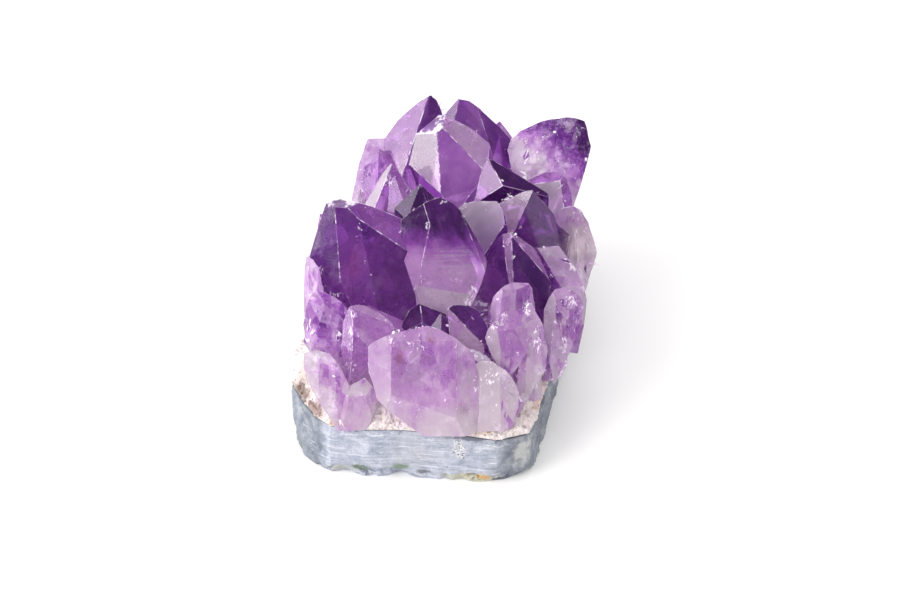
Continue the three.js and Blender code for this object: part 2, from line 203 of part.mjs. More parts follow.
    pri: [[0.0,90.0,10.0],[60.0,90.0,10.0],[120.0,90.0,10.0],[180.0,90.0,10.0],[240.0,90.0,10.0],[300.0,90.0,10.0]] },
  { tip: [6.8, 54.61, 38.0], axis: [0.0853, 0.0181, 0.9962], side: [-0.7399, -0.6684, 0.0755],
    pyr: [[0.0,51.8,0.0],[60.0,51.8,0.0],[120.0,51.8,0.0],[180.0,51.8,0.0],[240.0,51.8,0.0],[300.0,51.8,0.0]],
    pri: [[0.0,90.0,8.0],[60.0,90.0,8.0],[120.0,90.0,8.0],[180.0,90.0,8.0],[240.0,90.0,8.0],[300.0,90.0,8.0]] },
];

// ---- helpers -----------------------------------------------------------------
function solidFrom(geometry) {
  const g = geometry.index ? geometry.toNonIndexed() : geometry.clone();
  g.deleteAttribute("normal");
  g.deleteAttribute("uv");
  const m = mergeVertices(g, 1e-4);
  return new wasm.Manifold(
    new wasm.Mesh({
      numProp: 3,
      vertProperties: new Float32Array(m.attributes.position.array),
      triVerts: new Uint32Array(m.index.array),
    }),
  );
}

function geometryFrom(solid) {
  const m = solid.getMesh(),
    n = m.numProp,
    v = new Float32Array(m.numVert * 3);
  for (let i = 0; i < m.numVert; i++)
    v.set(m.vertProperties.subarray(i * n, i * n + 3), i * 3);
  const g = new THREE.BufferGeometry()
    .setAttribute("position", new THREE.BufferAttribute(v, 3))
    .setIndex(new THREE.BufferAttribute(m.triVerts, 1));
  const flat = g.toNonIndexed();
  flat.computeVertexNormals();
  return flat;
}

// Convex body bounded by planes n.x <= d.
function convex(planes) {
  const pts = [];
  for (let i = 0; i < planes.length; i++)
    for (let j = i + 1; j < planes.length; j++)
      for (let k = j + 1; k < planes.length; k++) {
        const [a, b, c] = [planes[i], planes[j], planes[k]];
        const bc = b.n.clone().cross(c.n),
          det = a.n.dot(bc);
        if (Math.abs(det) < 1e-5) continue;
        const p = bc
          .multiplyScalar(a.d)
          .add(c.n.clone().cross(a.n).multiplyScalar(b.d))
          .add(a.n.clone().cross(b.n).multiplyScalar(c.d))
          .divideScalar(det);
        if (planes.some((q) => q.n.dot(p) - q.d > 1e-4)) continue;
        if (pts.every((q) => q.distanceTo(p) > 0.02)) pts.push(p);
      }
  return solidFrom(new ConvexGeometry(pts));
}

function crystal(c) {
  const axis = new THREE.Vector3(...c.axis).normalize();
  const side = new THREE.Vector3(...c.side);
  side.addScaledVector(axis, -side.dot(axis)).normalize();
  const other = axis.clone().cross(side);
  const tip = new THREE.Vector3(c.tip[0] - CENTRE[0], c.tip[1] - CENTRE[1], c.tip[2]);
  const dir = (az, pol) => {
    const a = THREE.MathUtils.degToRad(az),
      p = THREE.MathUtils.degToRad(pol);
    return new THREE.Vector3()
      .addScaledVector(side, Math.sin(p) * Math.cos(a))
      .addScaledVector(other, Math.sin(p) * Math.sin(a))
      .addScaledVector(axis, Math.cos(p));
  };
  const planes = [];
  for (const [az, pol, off] of c.pyr) {
    const n = dir(az, pol);
    planes.push({ n, d: n.dot(tip) - off });
  }
  for (const [az, pol, r] of c.pri) {
    const n = dir(az, pol);
    planes.push({ n, d: n.dot(tip) + r });
  }
  // the root of the crystal, well inside the massive quartz or below the cut
  const length = (tip.z - 13) / axis.z + 4;
  const n = axis.clone().negate();
  planes.push({ n, d: n.dot(tip) + length });
  return convex(planes);
}

// Smooth repeatable ripple used to roughen the broken surfaces.
const ripple = (t, s) =>
  0.5 * Math.sin(t * 3.1 + s) + 0.33 * Math.sin(t * 7.3 + 2.1 * s) + 0.25 * Math.sin(t * 13.7 + 0.7 * s);

// The outline resampled to N points, each with its inward direction.
const N = 108;
const ring = (() => {
  const pts = OUTLINE.map(([x, y]) => new THREE.Vector2(x - CENTRE[0], y - CENTRE[1]));
  const closed = [...pts, pts[0]];
  const lens = [0];
  for (let i = 1; i < closed.length; i++) lens.push(lens[i - 1] + closed[i].distanceTo(closed[i - 1]));
  const total = lens[lens.length - 1];
  const out = [];
  for (let k = 0; k < N; k++) {
    const s = (k / N) * total;
    let i = 1;
    while (lens[i] < s) i++;
    const f = (s - lens[i - 1]) / (lens[i] - lens[i - 1]);
    out.push(closed[i - 1].clone().lerp(closed[i], f));
  }
  return out.map((p, k) => {
    const a = out[(k + N - 2) % N],
      b = out[(k + 2) % N];
    const t = b.clone().sub(a).normalize();
    return { p, inward: new THREE.Vector2(-t.y, t.x), t: (k / N) * Math.PI * 2, front: p.y < -40 };
  });
})();

// Height of the rock's upper surface above a point of the slab.
const rockTop = (x, y) =>
  ROCK_TOP -
  ROCK_TOP_DROP * THREE.MathUtils.smoothstep(x, 8, 26) * (1 - THREE.MathUtils.smoothstep(y, -40, 0)) +
  0.35 * Math.sin(x * 0.21 + 1) * Math.sin(y * 0.17);

// A closed body through stacked rings. Each level gives, for a ring entry,
// [inset from the outline, height]; the two ends are closed to a middle point.
function stack(levels, bottomZ, topZ) {
  const pos = [];
  const idx = [];
  for (const level of levels)
    for (const r of ring) {
      const [inset, z] = level(r);
      pos.push(r.p.x + r.inward.x * inset, r.p.y + r.inward.y * inset, z);
    }
  for (let l = 0; l + 1 < levels.length; l++)
    for (let k = 0; k < N; k++) {
      const a = l * N + k,
        b = l * N + ((k + 1) % N),
        c = a + N,
        d = b + N;
      idx.push(a, b, d, a, d, c);
    }
  const lo = pos.length / 3;
  pos.push(0, 0, bottomZ);
  const hi = lo + 1;
  pos.push(0, 0, topZ);
  const top = (levels.length - 1) * N;
  for (let k = 0; k < N; k++) {
    idx.push(lo, (k + 1) % N, k);
    idx.push(hi, top + k, top + ((k + 1) % N));
  }
  const g = new THREE.BufferGeometry()
    .setAttribute("position", new THREE.BufferAttribute(new Float32Array(pos), 3))
    .setIndex(idx);
  return solidFrom(g);
}

// ---- host rock ---------------------------------------------------------------
const rough = (r, amp, s) => (r.front ? 0.25 : 1) * amp * ripple(r.t * 2.5, s);
const rockEdgeZ = (r) => rockTop(r.p.x, r.p.y);
let rock = stack(
  [
    (r) => [ROCK_FOOT_INSET + rough(r, 0.9, 1), 0],
    (r) => [0.9 + rough(r, 0.7, 2), 1.6],
    (r) => [0.15 + rough(r, 0.5, 3), 4.2],
    (r) => [0.1 + rough(r, 0.45, 4), 8.4],
    (r) => [0.35 + rough(r, 0.4, 5), 12.0],
    (r) => [0.6, rockEdgeZ(r)],
  ],
  0,
  ROCK_TOP,
);

// Broken faces: [direction in plan, tilt, depth], in degrees and mm. Each takes a
// flat bite of that depth off the rock's furthest point in that direction.
const BREAKS = [
  [-150, -8, 1.6], [-166, 6, 1.1], [176, -18, 1.5], [150, 4, 1.6], [128, -8, 2.2],
  [97, -12, 2.0], [62, 3, 2.0], [38, -6, 2.4], [6, -10, 1.2], [-14, 6, 0.8],
  [-38, -28, 1.6], [-90, -56, 2.4], [-118, -48, 3.0], [-72, -60, 2.0], [92, -50, 3.0],
  [180, -52, 3.0], [-1, -50, 2.6], [140, -44, 3.2], [40, -46, 3.0], [-104, -2, 0.4],
];
for (const [plan, tilt, depth] of BREAKS) {
  const a = THREE.MathUtils.degToRad(plan),
    e = THREE.MathUtils.degToRad(tilt);
  const n = new THREE.Vector3(Math.cos(e) * Math.cos(a), Math.cos(e) * Math.sin(a), Math.sin(e));
  const m = rock.getMesh();
  let reach = -Infinity;
  for (let i = 0; i < m.numVert; i++) {
    const o = i * m.numProp;
    reach = Math.max(reach, n.x * m.vertProperties[o] + n.y * m.vertProperties[o + 1] + n.z * m.vertProperties[o + 2]);
  }
  const bite = new THREE.BoxGeometry(200, 200, 40);
  bite.applyQuaternion(new THREE.Quaternion().setFromUnitVectors(new THREE.Vector3(0, 0, 1), n));
  bite.translate(n.x * (reach - depth + 20), n.y * (reach - depth + 20), n.z * (reach - depth + 20));
  rock = rock.subtract(solidFrom(bite));
}

// ---- crust of fine quartz ------------------------------------------------------
const crustLevels = (grow) => [
  (r) => [0.6 - grow, rockEdgeZ(r) + (grow ? -1 : GAP)],
  (r) => [0.3 - grow + 0.25 * ripple(r.t * 4, 6), rockEdgeZ(r) + GAP + CRUST_EDGE * 0.55],
  (r) => [1.5 - grow + 0.5 * ripple(r.t * 5, 7), rockEdgeZ(r) + GAP + CRUST_EDGE + grow],
  (r) => [5.2 - grow + 0.7 * ripple(r.t * 4, 8), rockEdgeZ(r) + GAP + CRUST_EDGE + 2.4 + 0.3 * ripple(r.t * 6, 3) + grow],
  (r) => [10.5 - grow, rockEdgeZ(r) + GAP + CRUST_RISE + grow],
];
const crust = stack(crustLevels(0), ROCK_TOP + GAP, ROCK_TOP + GAP + CRUST_RISE + 1);
const crustRoom = stack(crustLevels(GAP + 0.05), ROCK_TOP - 1, ROCK_TOP + 2 * GAP + CRUST_RISE + 1.05);

// ---- crystals ----------------------------------------------------------------
let crystals = stack(
  [
    (r) => [8.5, ROCK_TOP],
    (r) => [8.5 + 0.6 * ripple(r.t * 5, 2), 21],
    (r) => [12.5 + 0.9 * ripple(r.t * 4, 4), 26.5],
    (r) => [18.5, MASSIVE_TOP - 1],
  ],
  ROCK_TOP,
  MASSIVE_TOP,
);
for (const c of CRYSTALS) crystals = crystals.add(crystal(c));
crystals = crystals.subtract(crustRoom);
const below = new THREE.BoxGeometry(300, 300, 60);
below.translate(0, 0, CRYSTAL_FLOOR - 30);
crystals = crystals.subtract(solidFrom(below));

// keeps the largest body, so that no loose sliver is left at the rim
function largest(solid) {
  const bodies = solid.decompose();
  bodies.sort((a, b) => b.volume() - a.volume());
  return bodies[0];
}

// ---- scene graph -------------------------------------------------------------
const group = new THREE.Group();
function addPiece(name, solid, colour, roughness, metalness = 0) {
  const mesh = new THREE.Mesh(
    geometryFrom(largest(solid)),
    new THREE.MeshStandardMaterial({ color: colour, roughness, metalness, flatShading: true }),
  );
  mesh.name = name;
  group.add(mesh);
}
addPiece("host_rock", rock, 0xa9b3c4, 0.85);
addPiece("quartz_crust", crust, 0xe6dccf, 0.8);
addPiece("amethyst_crystals", crystals, 0x8a58b8, 0.12);

export default group;
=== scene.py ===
import bpy
import bmesh
import math
import numpy as np
from mathutils import Vector, Matrix, Quaternion


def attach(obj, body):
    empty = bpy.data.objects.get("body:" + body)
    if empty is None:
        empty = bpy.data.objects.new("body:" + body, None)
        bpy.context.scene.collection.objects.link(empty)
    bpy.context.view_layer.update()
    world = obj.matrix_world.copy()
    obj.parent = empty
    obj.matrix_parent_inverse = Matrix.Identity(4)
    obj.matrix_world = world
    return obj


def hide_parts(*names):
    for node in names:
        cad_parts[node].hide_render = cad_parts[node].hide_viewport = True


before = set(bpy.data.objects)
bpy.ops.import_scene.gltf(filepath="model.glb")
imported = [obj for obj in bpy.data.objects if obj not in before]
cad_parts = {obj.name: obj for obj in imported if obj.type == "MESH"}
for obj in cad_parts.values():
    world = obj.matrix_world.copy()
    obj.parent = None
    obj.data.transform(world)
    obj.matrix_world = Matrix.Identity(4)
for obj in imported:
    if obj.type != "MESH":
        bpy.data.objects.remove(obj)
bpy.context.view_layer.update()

# ---- the same driving numbers as the construction, mm ----------------------------
CENTRE = np.array([-11.263, 54.666])
ROCK_TOP = 15.2
ROCK_TOP_DROP = 1.9
CRUST_EDGE = 1.9
CRUST_RISE = 6.2
MM = 0.001

OUTLINE = [(-31.2, -2.3), (-21.1, -1.8), (-12.2, -0.1), (-4.2, 0.7), (3.7, 1.6), (11.7, 2.9), (19.3, 8.2), (20.4, 16.6), (20.8, 30.0), (20.6, 48.3), (20.5, 59.6), (20.2, 70.8), (19.1, 87.9), (16.6, 99.6), (8.9, 107.2), (-10.7, 108.1), (-30.1, 103.0), (-40.4, 93.7), (-44.8, 78.4), (-46.4, 59.7), (-48.1, 38.8), (-48.3, 20.4), (-45.7, 12.8), (-35.9, 0.5)]

# Each crystal: point, axis, side direction, six end faces [azimuth, angle, offset],
# six prism faces [azimuth, angle, distance], then how dark its point is, how many
# millimetres the colour takes to fade toward the root, and how cloudy it is.
CRYSTALS = [
    ((-37.781, 37.608, 56.092), (-0.2895, -0.2346, 0.928), (-0.4976, -0.7913, -0.3553),
     [[-0.5,49.8,0.41],[59.6,52.4,0.24],[119.9,53.0,-0.84],[180.2,49.0,0.81],[240.0,51.8,0.0],[300.8,52.8,-1.03]],
     [[0.0,90.0,13.0],[60.0,90.0,22.0],[120.0,90.0,26.0],[180.0,90.0,20.0],[240.0,90.0,12.0],[300.0,90.0,12.0]], (0.82, 62, 0.12)),  # O
    ((-11.133, 46.679, 52.215), (0.0487, 0.3715, 0.9272), (-0.5107, -0.7885, 0.3427),
     [[-0.2,50.9,-0.75],[61.0,55.4,-0.41],[120.9,51.7,-0.39],[177.6,56.0,-2.26],[240.0,51.8,0.0],[301.3,51.7,-2.99]],
     [[0.1,92.8,13.09],[59.3,87.7,10.28],[120.0,90.0,11.0],[180.0,90.0,11.0],[240.0,90.0,11.0],[300.0,90.0,11.0]], (0.92, 18.5, 0.12)),  # P
    ((-20.016, 78.477, 57.501), (-0.0317, -0.2686, 0.9627), (-0.4037, -0.8777, -0.2582),
     [[1.7,53.9,0.22],[60.7,51.4,0.41],[120.7,49.9,0.44],[180.1,49.5,-1.14],[240.0,51.8,0.0],[301.0,50.4,-2.31]],
     [[-4.2,89.5,8.89],[60.0,90.0,11.0],[120.0,90.0,13.0],[180.0,90.0,14.0],[240.0,90.0,11.0],[300.0,90.0,11.0]], (0.72, 40, 0.12)),  # B
    ((-23.938, 88.867, 58.574), (-0.1093, 0.0407, 0.9932), (-0.8097, -0.5832, -0.0652),
     [[-0.1,45.1,-0.18],[61.0,58.6,0.07],[120.4,44.6,-0.08],[180.0,51.8,0.0],[240.0,51.8,0.0],[298.7,48.0,-0.63]],
     [[0.0,90.0,14.0],[60.0,90.0,12.0],[120.0,90.0,9.0],[180.0,90.0,9.0],[240.0,90.0,12.0],[300.0,90.0,14.0]], (0.72, 24, 0.2)),  # A
    ((-17.269, 98.624, 53.269), (0.0975, 0.0356, 0.9946), (-0.3652, -0.9283, 0.069),
     [[2.0,56.2,0.14],[60.4,44.5,0.4],[117.0,54.8,-1.48],[180.6,50.4,-0.9],[240.0,51.8,0.0],[300.0,50.8,-0.92]],
     [[0.0,90.0,11.0],[60.0,90.0,11.0],[120.0,90.0,14.0],[180.0,90.0,15.0],[240.0,90.0,11.0],[300.0,90.0,11.0]], (0.72, 34, 0.25)),  # D
    ((-4.016, 70.597, 51.476), (-0.0816, 0.05, 0.9954), (0.3961, -0.9149, 0.0784),
     [[-5.0,55.8,0.04],[69.0,58.2,0.12],[119.6,42.3,-0.17],[180.0,51.8,0.0],[240.0,51.8,0.0],[299.7,49.1,-0.21]],
     [[6.3,88.3,4.45],[50.4,84.5,4.05],[120.0,90.0,9.0],[180.0,90.0,9.0],[240.0,90.0,9.0],[300.0,90.0,9.0]], (0.85, 40, 0.08)),  # G
    ((8.637, 65.956, 46.423), (0.0706, -0.1807, 0.981), (-0.7022, -0.7075, -0.0798),
     [[-3.1,53.0,0.26],[64.7,60.6,0.01],[119.0,38.4,0.11],[180.0,51.8,0.0],[240.0,51.8,0.0],[299.6,40.0,-0.82]],
     [[0.0,90.0,17.0],[60.5,93.2,11.44],[119.2,83.5,10.1],[180.0,90.0,9.0],[240.0,90.0,12.0],[300.0,90.0,17.0]], (0.85, 40, 0.08)),  # R
    ((7.111, 46.494, 44.349), (-0.1306, 0.0043, 0.9914), (-0.8792, -0.4627, -0.1138),
     [[8.8,64.5,-1.79],[58.6,40.5,-0.04],[117.6,52.5,-0.03],[173.4,58.0,-0.04],[240.6,47.1,-0.9],[301.2,57.2,-3.86]],
     [[0.0,90.0,8.0],[60.0,90.0,12.0],[120.0,90.0,12.0],[180.0,90.0,10.0],[240.0,90.0,9.0],[300.0,90.0,9.0]], (0.85, 44, 0.08)),  # S
    ((-5.054, 28.741, 31.89), (-0.548, -0.1356, 0.8254), (-0.5009, -0.7371, -0.4537),
     [[-0.7,46.8,-0.08],[56.3,53.7,-0.04],[121.3,56.3,0.13],[180.2,39.6,-0.16],[240.0,51.8,0.0],[300.0,51.8,0.0]],
     [[0.0,90.0,8.0],[63.9,84.6,6.59],[119.0,97.3,7.75],[180.0,90.0,8.0],[240.0,90.0,8.0],[300.0,90.0,8.0]], (0.85, 34, 0.08)),  # U1
    ((-13.284, 25.343, 34.362), (-0.1199, 0.1514, 0.9812), (-0.6243, -0.7799, 0.044),
     [[0.0,51.8,0.0],[60.0,51.8,0.0],[120.0,51.8,0.0],[180.0,51.8,0.0],[240.0,51.8,0.0],[300.0,51.8,0.0]],
     [[0.0,90.0,10.0],[60.0,90.0,10.0],[120.0,90.0,10.0],[180.0,90.0,10.0],[240.0,90.0,10.0],[300.0,90.0,10.0]], (0.85, 34, 0.1)),  # U3
    ((-7.47, 23.97, 36.57), (-0.0181, 0.0853, 0.9962), (-0.3097, -0.9478, 0.0755),
     [[0.0,51.8,0.0],[60.0,51.8,0.0],[120.0,51.8,0.0],[180.0,51.8,0.0],[240.0,51.8,0.0],[300.0,51.8,0.0]],
     [[0.0,90.0,5.0],[60.0,90.0,5.0],[120.0,90.0,5.0],[180.0,90.0,5.0],[240.0,90.0,5.0],[300.0,90.0,5.0]], (0.9, 34, 0.08)),  # U2
    ((-29.089, 17.562, 38.789), (-0.2746, -0.4172, 0.8664), (-0.7174, -0.511, -0.4734),
     [[-5.9,62.8,0.14],[64.8,57.7,0.89],[119.7,43.5,-0.86],[180.0,51.8,0.0],[240.0,51.8,0.0],[301.3,39.3,-0.01]],
     [[0.0,90.0,14.0],[60.0,90.0,10.0],[120.0,90.0,10.0],[180.0,90.0,10.0],[240.0,90.0,10.0],[300.0,90.0,14.0]], (0.45, 26, 0.35)),  # V
    ((-38.265, 18.557, 39.475), (-0.3664, -0.0779, 0.9272), (-0.6815, -0.656, -0.3244),
     [[0.0,51.8,0.0],[60.0,51.8,0.0],[120.0,51.8,0.0],[180.0,51.8,0.0],[240.0,51.8,0.0],[300.0,51.8,0.0]],
     [[0.0,90.0,8.0],[60.0,90.0,8.0],[120.0,90.0,8.0],[180.0,90.0,8.0],[240.0,90.0,8.0],[300.0,90.0,8.0]], (0.4, 22, 0.5)),  # V2
    ((-43.384, 31.537, 41.235), (-0.5323, -0.0375, 0.8457), (-0.5268, -0.7673, -0.3656),
     [[0.0,51.8,0.0],[60.0,51.8,0.0],[120.0,51.8,0.0],[180.0,51.8,0.0],[240.0,51.8,0.0],[300.0,51.8,0.0]],
     [[0.0,90.0,7.0],[60.0,90.0,7.0],[120.0,90.0,7.0],[180.0,90.0,7.0],[240.0,90.0,7.0],[300.0,90.0,7.0]], (0.36, 20, 0.55)),  # N1
    ((-45.13, 45.61, 48.0), (-0.5034, -0.0298, 0.8636), (-0.5394, -0.7699, -0.341),
     [[0.0,51.8,0.0],[60.0,51.8,0.0],[120.0,51.8,0.0],[180.0,51.8,0.0],[240.0,51.8,0.0],[300.0,51.8,0.0]],
     [[0.0,90.0,6.0],[60.0,90.0,6.0],[120.0,90.0,6.0],[180.0,90.0,6.0],[240.0,90.0,6.0],[300.0,90.0,6.0]], (0.36, 20, 0.55)),  # N2
    ((-29.685, 65.001, 50.559), (-0.1506, 0.08, 0.9854), (-0.8253, -0.5588, -0.0807),
     [[0.1,47.9,0.3],[50.1,60.2,-0.37],[119.6,53.6,-0.27],[180.0,51.8,0.0],[240.0,51.8,0.0],[300.0,51.8,0.0]],
     [[0.0,90.0,9.0],[70.3,83.1,4.7],[120.0,90.0,9.0],[180.0,90.0,9.0],[240.0,90.0,9.0],[300.0,90.0,9.0]], (0.5, 26, 0.25)),  # K
    ((-36.427, 76.2, 51.191), (-0.2532, -0.0538, 0.9659), (-0.5901, -0.7826, -0.1983),
     [[0.0,51.8,0.0],[60.0,51.8,0.0],[120.0,51.8,0.0],[180.0,51.8,0.0],[240.0,51.8,0.0],[300.0,51.8,0.0]],
     [[0.0,90.0,7.0],[60.0,90.0,7.0],[120.0,90.0,7.0],[180.0,90.0,7.0],[240.0,90.0,7.0],[300.0,90.0,7.0]], (0.4, 20, 0.35)),  # J
    ((12.922, 80.545, 43.621), (0.2532, 0.0538, 0.9659), (-0.7143, -0.663, 0.2241),
     [[0.0,51.8,0.0],[60.0,51.8,0.0],[120.0,51.8,0.0],[180.0,51.8,0.0],[240.0,51.8,0.0],[300.0,51.8,0.0]],
     [[0.0,90.0,8.0],[60.0,90.0,8.0],[120.0,90.0,8.0],[180.0,90.0,8.0],[240.0,90.0,8.0],[300.0,90.0,8.0]], (0.68, 28, 0.25)),  # H
    ((-19.87, 55.07, 54.92), (0.0, 0.0, 1.0), (-0.7431, -0.6691, 0.0),
     [[0.0,51.8,0.0],[60.0,51.8,0.0],[120.0,51.8,0.0],[180.0,51.8,0.0],[240.0,51.8,0.0],[300.0,51.8,0.0]],
     [[0.0,90.0,6.0],[60.0,90.0,6.0],[120.0,90.0,6.0],[180.0,90.0,6.0],[240.0,90.0,6.0],[300.0,90.0,6.0]], (1.0, 40, 0.05)),  # M
    ((10.276, 32.958, 39.549), (0.1022, 0.0217, 0.9945), (-0.3063, -0.9505, 0.0523),
     [[0.0,51.8,0.0],[60.0,51.8,0.0],[120.0,51.8,0.0],[180.0,51.8,0.0],[240.0,51.8,0.0],[300.0,51.8,0.0]],
     [[0.0,90.0,6.0],[60.0,90.0,6.0],[120.0,90.0,6.0],[180.0,90.0,6.0],[240.0,90.0,6.0],[300.0,90.0,6.0]], (0.42, 22, 0.4)),  # AA1
    ((16.156, 26.027, 34.027), (0.2366, 0.0503, 0.9703), (-0.718, -0.6638, 0.2095),
     [[0.0,51.8,0.0],[60.0,51.8,0.0],[120.0,51.8,0.0],[180.0,51.8,0.0],[240.0,51.8,0.0],[300.0,51.8,0.0]],
     [[0.0,90.0,5.0],[60.0,90.0,5.0],[120.0,90.0,5.0],[180.0,90.0,5.0],[240.0,90.0,5.0],[300.0,90.0,5.0]], (0.38, 20, 0.5)),  # AA3
    ((-7.58, 104.71, 46.88), (0.1062, 0.1635, 0.9808), (-0.7265, -0.6607, 0.1888),
     [[0.0,51.8,0.0],[60.0,51.8,0.0],[120.0,51.8,0.0],[180.0,51.8,0.0],[240.0,51.8,0.0],[300.0,51.8,0.0]],
     [[0.0,90.0,6.0],[60.0,90.0,6.0],[120.0,90.0,6.0],[180.0,90.0,6.0],[240.0,90.0,6.0],[300.0,90.0,6.0]], (0.25, 12, 0.6)),  # E
    ((-32.216, 96.328, 45.544), (-0.2347, 0.3281, 0.915), (-0.7143, -0.6967, 0.0666),
     [[0.0,51.8,0.0],[60.0,51.8,0.0],[120.0,51.8,0.0],[180.0,51.8,0.0],[240.0,51.8,0.0],[300.0,51.8,0.0]],
     [[0.0,90.0,8.0],[60.0,90.0,8.0],[120.0,90.0,8.0],[180.0,90.0,8.0],[240.0,90.0,8.0],[300.0,90.0,8.0]], (0.66, 26, 0.3)),  # b1
    ((-19.955, 103.519, 38.758), (-0.1102, 0.5183, 0.848), (-0.4937, -0.7691, 0.4059),
     [[0.0,51.8,0.0],[60.0,51.8,0.0],[120.0,51.8,0.0],[180.0,51.8,0.0],[240.0,51.8,0.0],[300.0,51.8,0.0]],
     [[0.0,90.0,8.0],[60.0,90.0,8.0],[120.0,90.0,8.0],[180.0,90.0,8.0],[240.0,90.0,8.0],[300.0,90.0,8.0]], (0.66, 26, 0.3)),  # b2
    ((-6.638, 106.362, 37.777), (0.0064, 0.5393, 0.8421), (-0.7146, -0.5866, 0.3811),
     [[0.0,51.8,0.0],[60.0,51.8,0.0],[120.0,51.8,0.0],[180.0,51.8,0.0],[240.0,51.8,0.0],[300.0,51.8,0.0]],
     [[0.0,90.0,8.0],[60.0,90.0,8.0],[120.0,90.0,8.0],[180.0,90.0,8.0],[240.0,90.0,8.0],[300.0,90.0,8.0]], (0.66, 26, 0.3)),  # b3
    ((6.175, 105.27, 33.811), (0.2367, 0.5024, 0.8316), (-0.3949, -0.7323, 0.5548),
     [[0.0,51.8,0.0],[60.0,51.8,0.0],[120.0,51.8,0.0],[180.0,51.8,0.0],[240.0,51.8,0.0],[300.0,51.8,0.0]],
     [[0.0,90.0,8.0],[60.0,90.0,8.0],[120.0,90.0,8.0],[180.0,90.0,8.0],[240.0,90.0,8.0],[300.0,90.0,8.0]], (0.66, 26, 0.3)),  # b4
    ((-39.914, 89.011, 36.722), (-0.4947, 0.1302, 0.8592), (-0.5995, -0.7669, -0.229),
     [[0.0,51.8,0.0],[60.0,51.8,0.0],[120.0,51.8,0.0],[180.0,51.8,0.0],[240.0,51.8,0.0],[300.0,51.8,0.0]],
     [[0.0,90.0,7.0],[60.0,90.0,7.0],[120.0,90.0,7.0],[180.0,90.0,7.0],[240.0,90.0,7.0],[300.0,90.0,7.0]], (0.66, 26, 0.3)),  # b5
    ((-27.311, 105.354, 26.334), (-0.2114, 0.7135, 0.668), (-0.8058, -0.514, 0.294),
     [[0.0,51.8,0.0],[60.0,51.8,0.0],[120.0,51.8,0.0],[180.0,51.8,0.0],[240.0,51.8,0.0],[300.0,51.8,0.0]],
     [[0.0,90.0,7.0],[60.0,90.0,7.0],[120.0,90.0,7.0],[180.0,90.0,7.0],[240.0,90.0,7.0],[300.0,90.0,7.0]], (0.66, 26, 0.3)),  # b6
    ((-12.237, 109.577, 25.334), (-0.0971, 0.7378, 0.668), (-0.3929, -0.6451, 0.6554),
     [[0.0,51.8,0.0],[60.0,51.8,0.0],[120.0,51.8,0.0],[180.0,51.8,0.0],[240.0,51.8,0.0],[300.0,51.8,0.0]],
     [[0.0,90.0,7.0],[60.0,90.0,7.0],[120.0,90.0,7.0],[180.0,90.0,7.0],[240.0,90.0,7.0],[300.0,90.0,7.0]], (0.66, 26, 0.3)),  # b7
    ((-0.021, 110.491, 23.225), (0.1888, 0.6865, 0.7022), (-0.4076, -0.5958, 0.6921),
     [[0.0,51.8,0.0],[60.0,51.8,0.0],[120.0,51.8,0.0],[180.0,51.8,0.0],[240.0,51.8,0.0],[300.0,51.8,0.0]],
     [[0.0,90.0,7.0],[60.0,90.0,7.0],[120.0,90.0,7.0],[180.0,90.0,7.0],[240.0,90.0,7.0],[300.0,90.0,7.0]], (0.66, 26, 0.3)),  # b8
    ((-36.832, 96.536, 26.225), (-0.4517, 0.5504, 0.7022), (-0.8179, -0.5699, -0.0795),
     [[0.0,51.8,0.0],[60.0,51.8,0.0],[120.0,51.8,0.0],[180.0,51.8,0.0],[240.0,51.8,0.0],[300.0,51.8,0.0]],
     [[0.0,90.0,7.0],[60.0,90.0,7.0],[120.0,90.0,7.0],[180.0,90.0,7.0],[240.0,90.0,7.0],[300.0,90.0,7.0]], (0.66, 26, 0.3)),  # b9
    ((15.631, 90.882, 26.878), (0.5256, 0.2579, 0.8107), (-0.5509, -0.623, 0.5553),
     [[0.0,51.8,0.0],[60.0,51.8,0.0],[120.0,51.8,0.0],[180.0,51.8,0.0],[240.0,51.8,0.0],[300.0,51.8,0.0]],
     [[0.0,90.0,8.0],[60.0,90.0,8.0],[120.0,90.0,8.0],[180.0,90.0,8.0],[240.0,90.0,8.0],[300.0,90.0,8.0]], (0.66, 26, 0.3)),  # r1
    ((13.117, 103.082, 23.983), (0.4673, 0.4205, 0.7777), (-0.2288, -0.7921, 0.5658),
     [[0.0,51.8,0.0],[60.0,51.8,0.0],[120.0,51.8,0.0],[180.0,51.8,0.0],[240.0,51.8,0.0],[300.0,51.8,0.0]],
     [[0.0,90.0,8.0],[60.0,90.0,8.0],[120.0,90.0,8.0],[180.0,90.0,8.0],[240.0,90.0,8.0],[300.0,90.0,8.0]], (0.66, 26, 0.3)),  # r2
    ((20.739, 79.147, 23.209), (0.6917, 0.147, 0.7071), (-0.3962, -0.7414, 0.5417),
     [[0.0,51.8,0.0],[60.0,51.8,0.0],[120.0,51.8,0.0],[180.0,51.8,0.0],[240.0,51.8,0.0],[300.0,51.8,0.0]],
     [[0.0,90.0,7.0],[60.0,90.0,7.0],[120.0,90.0,7.0],[180.0,90.0,7.0],[240.0,90.0,7.0],[300.0,90.0,7.0]], (0.66, 26, 0.3)),  # r3
    ((19.109, 67.557, 22.209), (0.6917, 0.147, 0.7071), (-0.495, -0.6164, 0.6124),
     [[0.0,51.8,0.0],[60.0,51.8,0.0],[120.0,51.8,0.0],[180.0,51.8,0.0],[240.0,51.8,0.0],[300.0,51.8,0.0]],
     [[0.0,90.0,6.0],[60.0,90.0,6.0],[120.0,90.0,6.0],[180.0,90.0,6.0],[240.0,90.0,6.0],[300.0,90.0,6.0]], (0.66, 26, 0.3)),  # r4
    ((18.521, 52.09, 21.02), (0.6287, 0.1336, 0.766), (-0.545, -0.627, 0.5567),
     [[0.0,51.8,0.0],[60.0,51.8,0.0],[120.0,51.8,0.0],[180.0,51.8,0.0],[240.0,51.8,0.0],[300.0,51.8,0.0]],
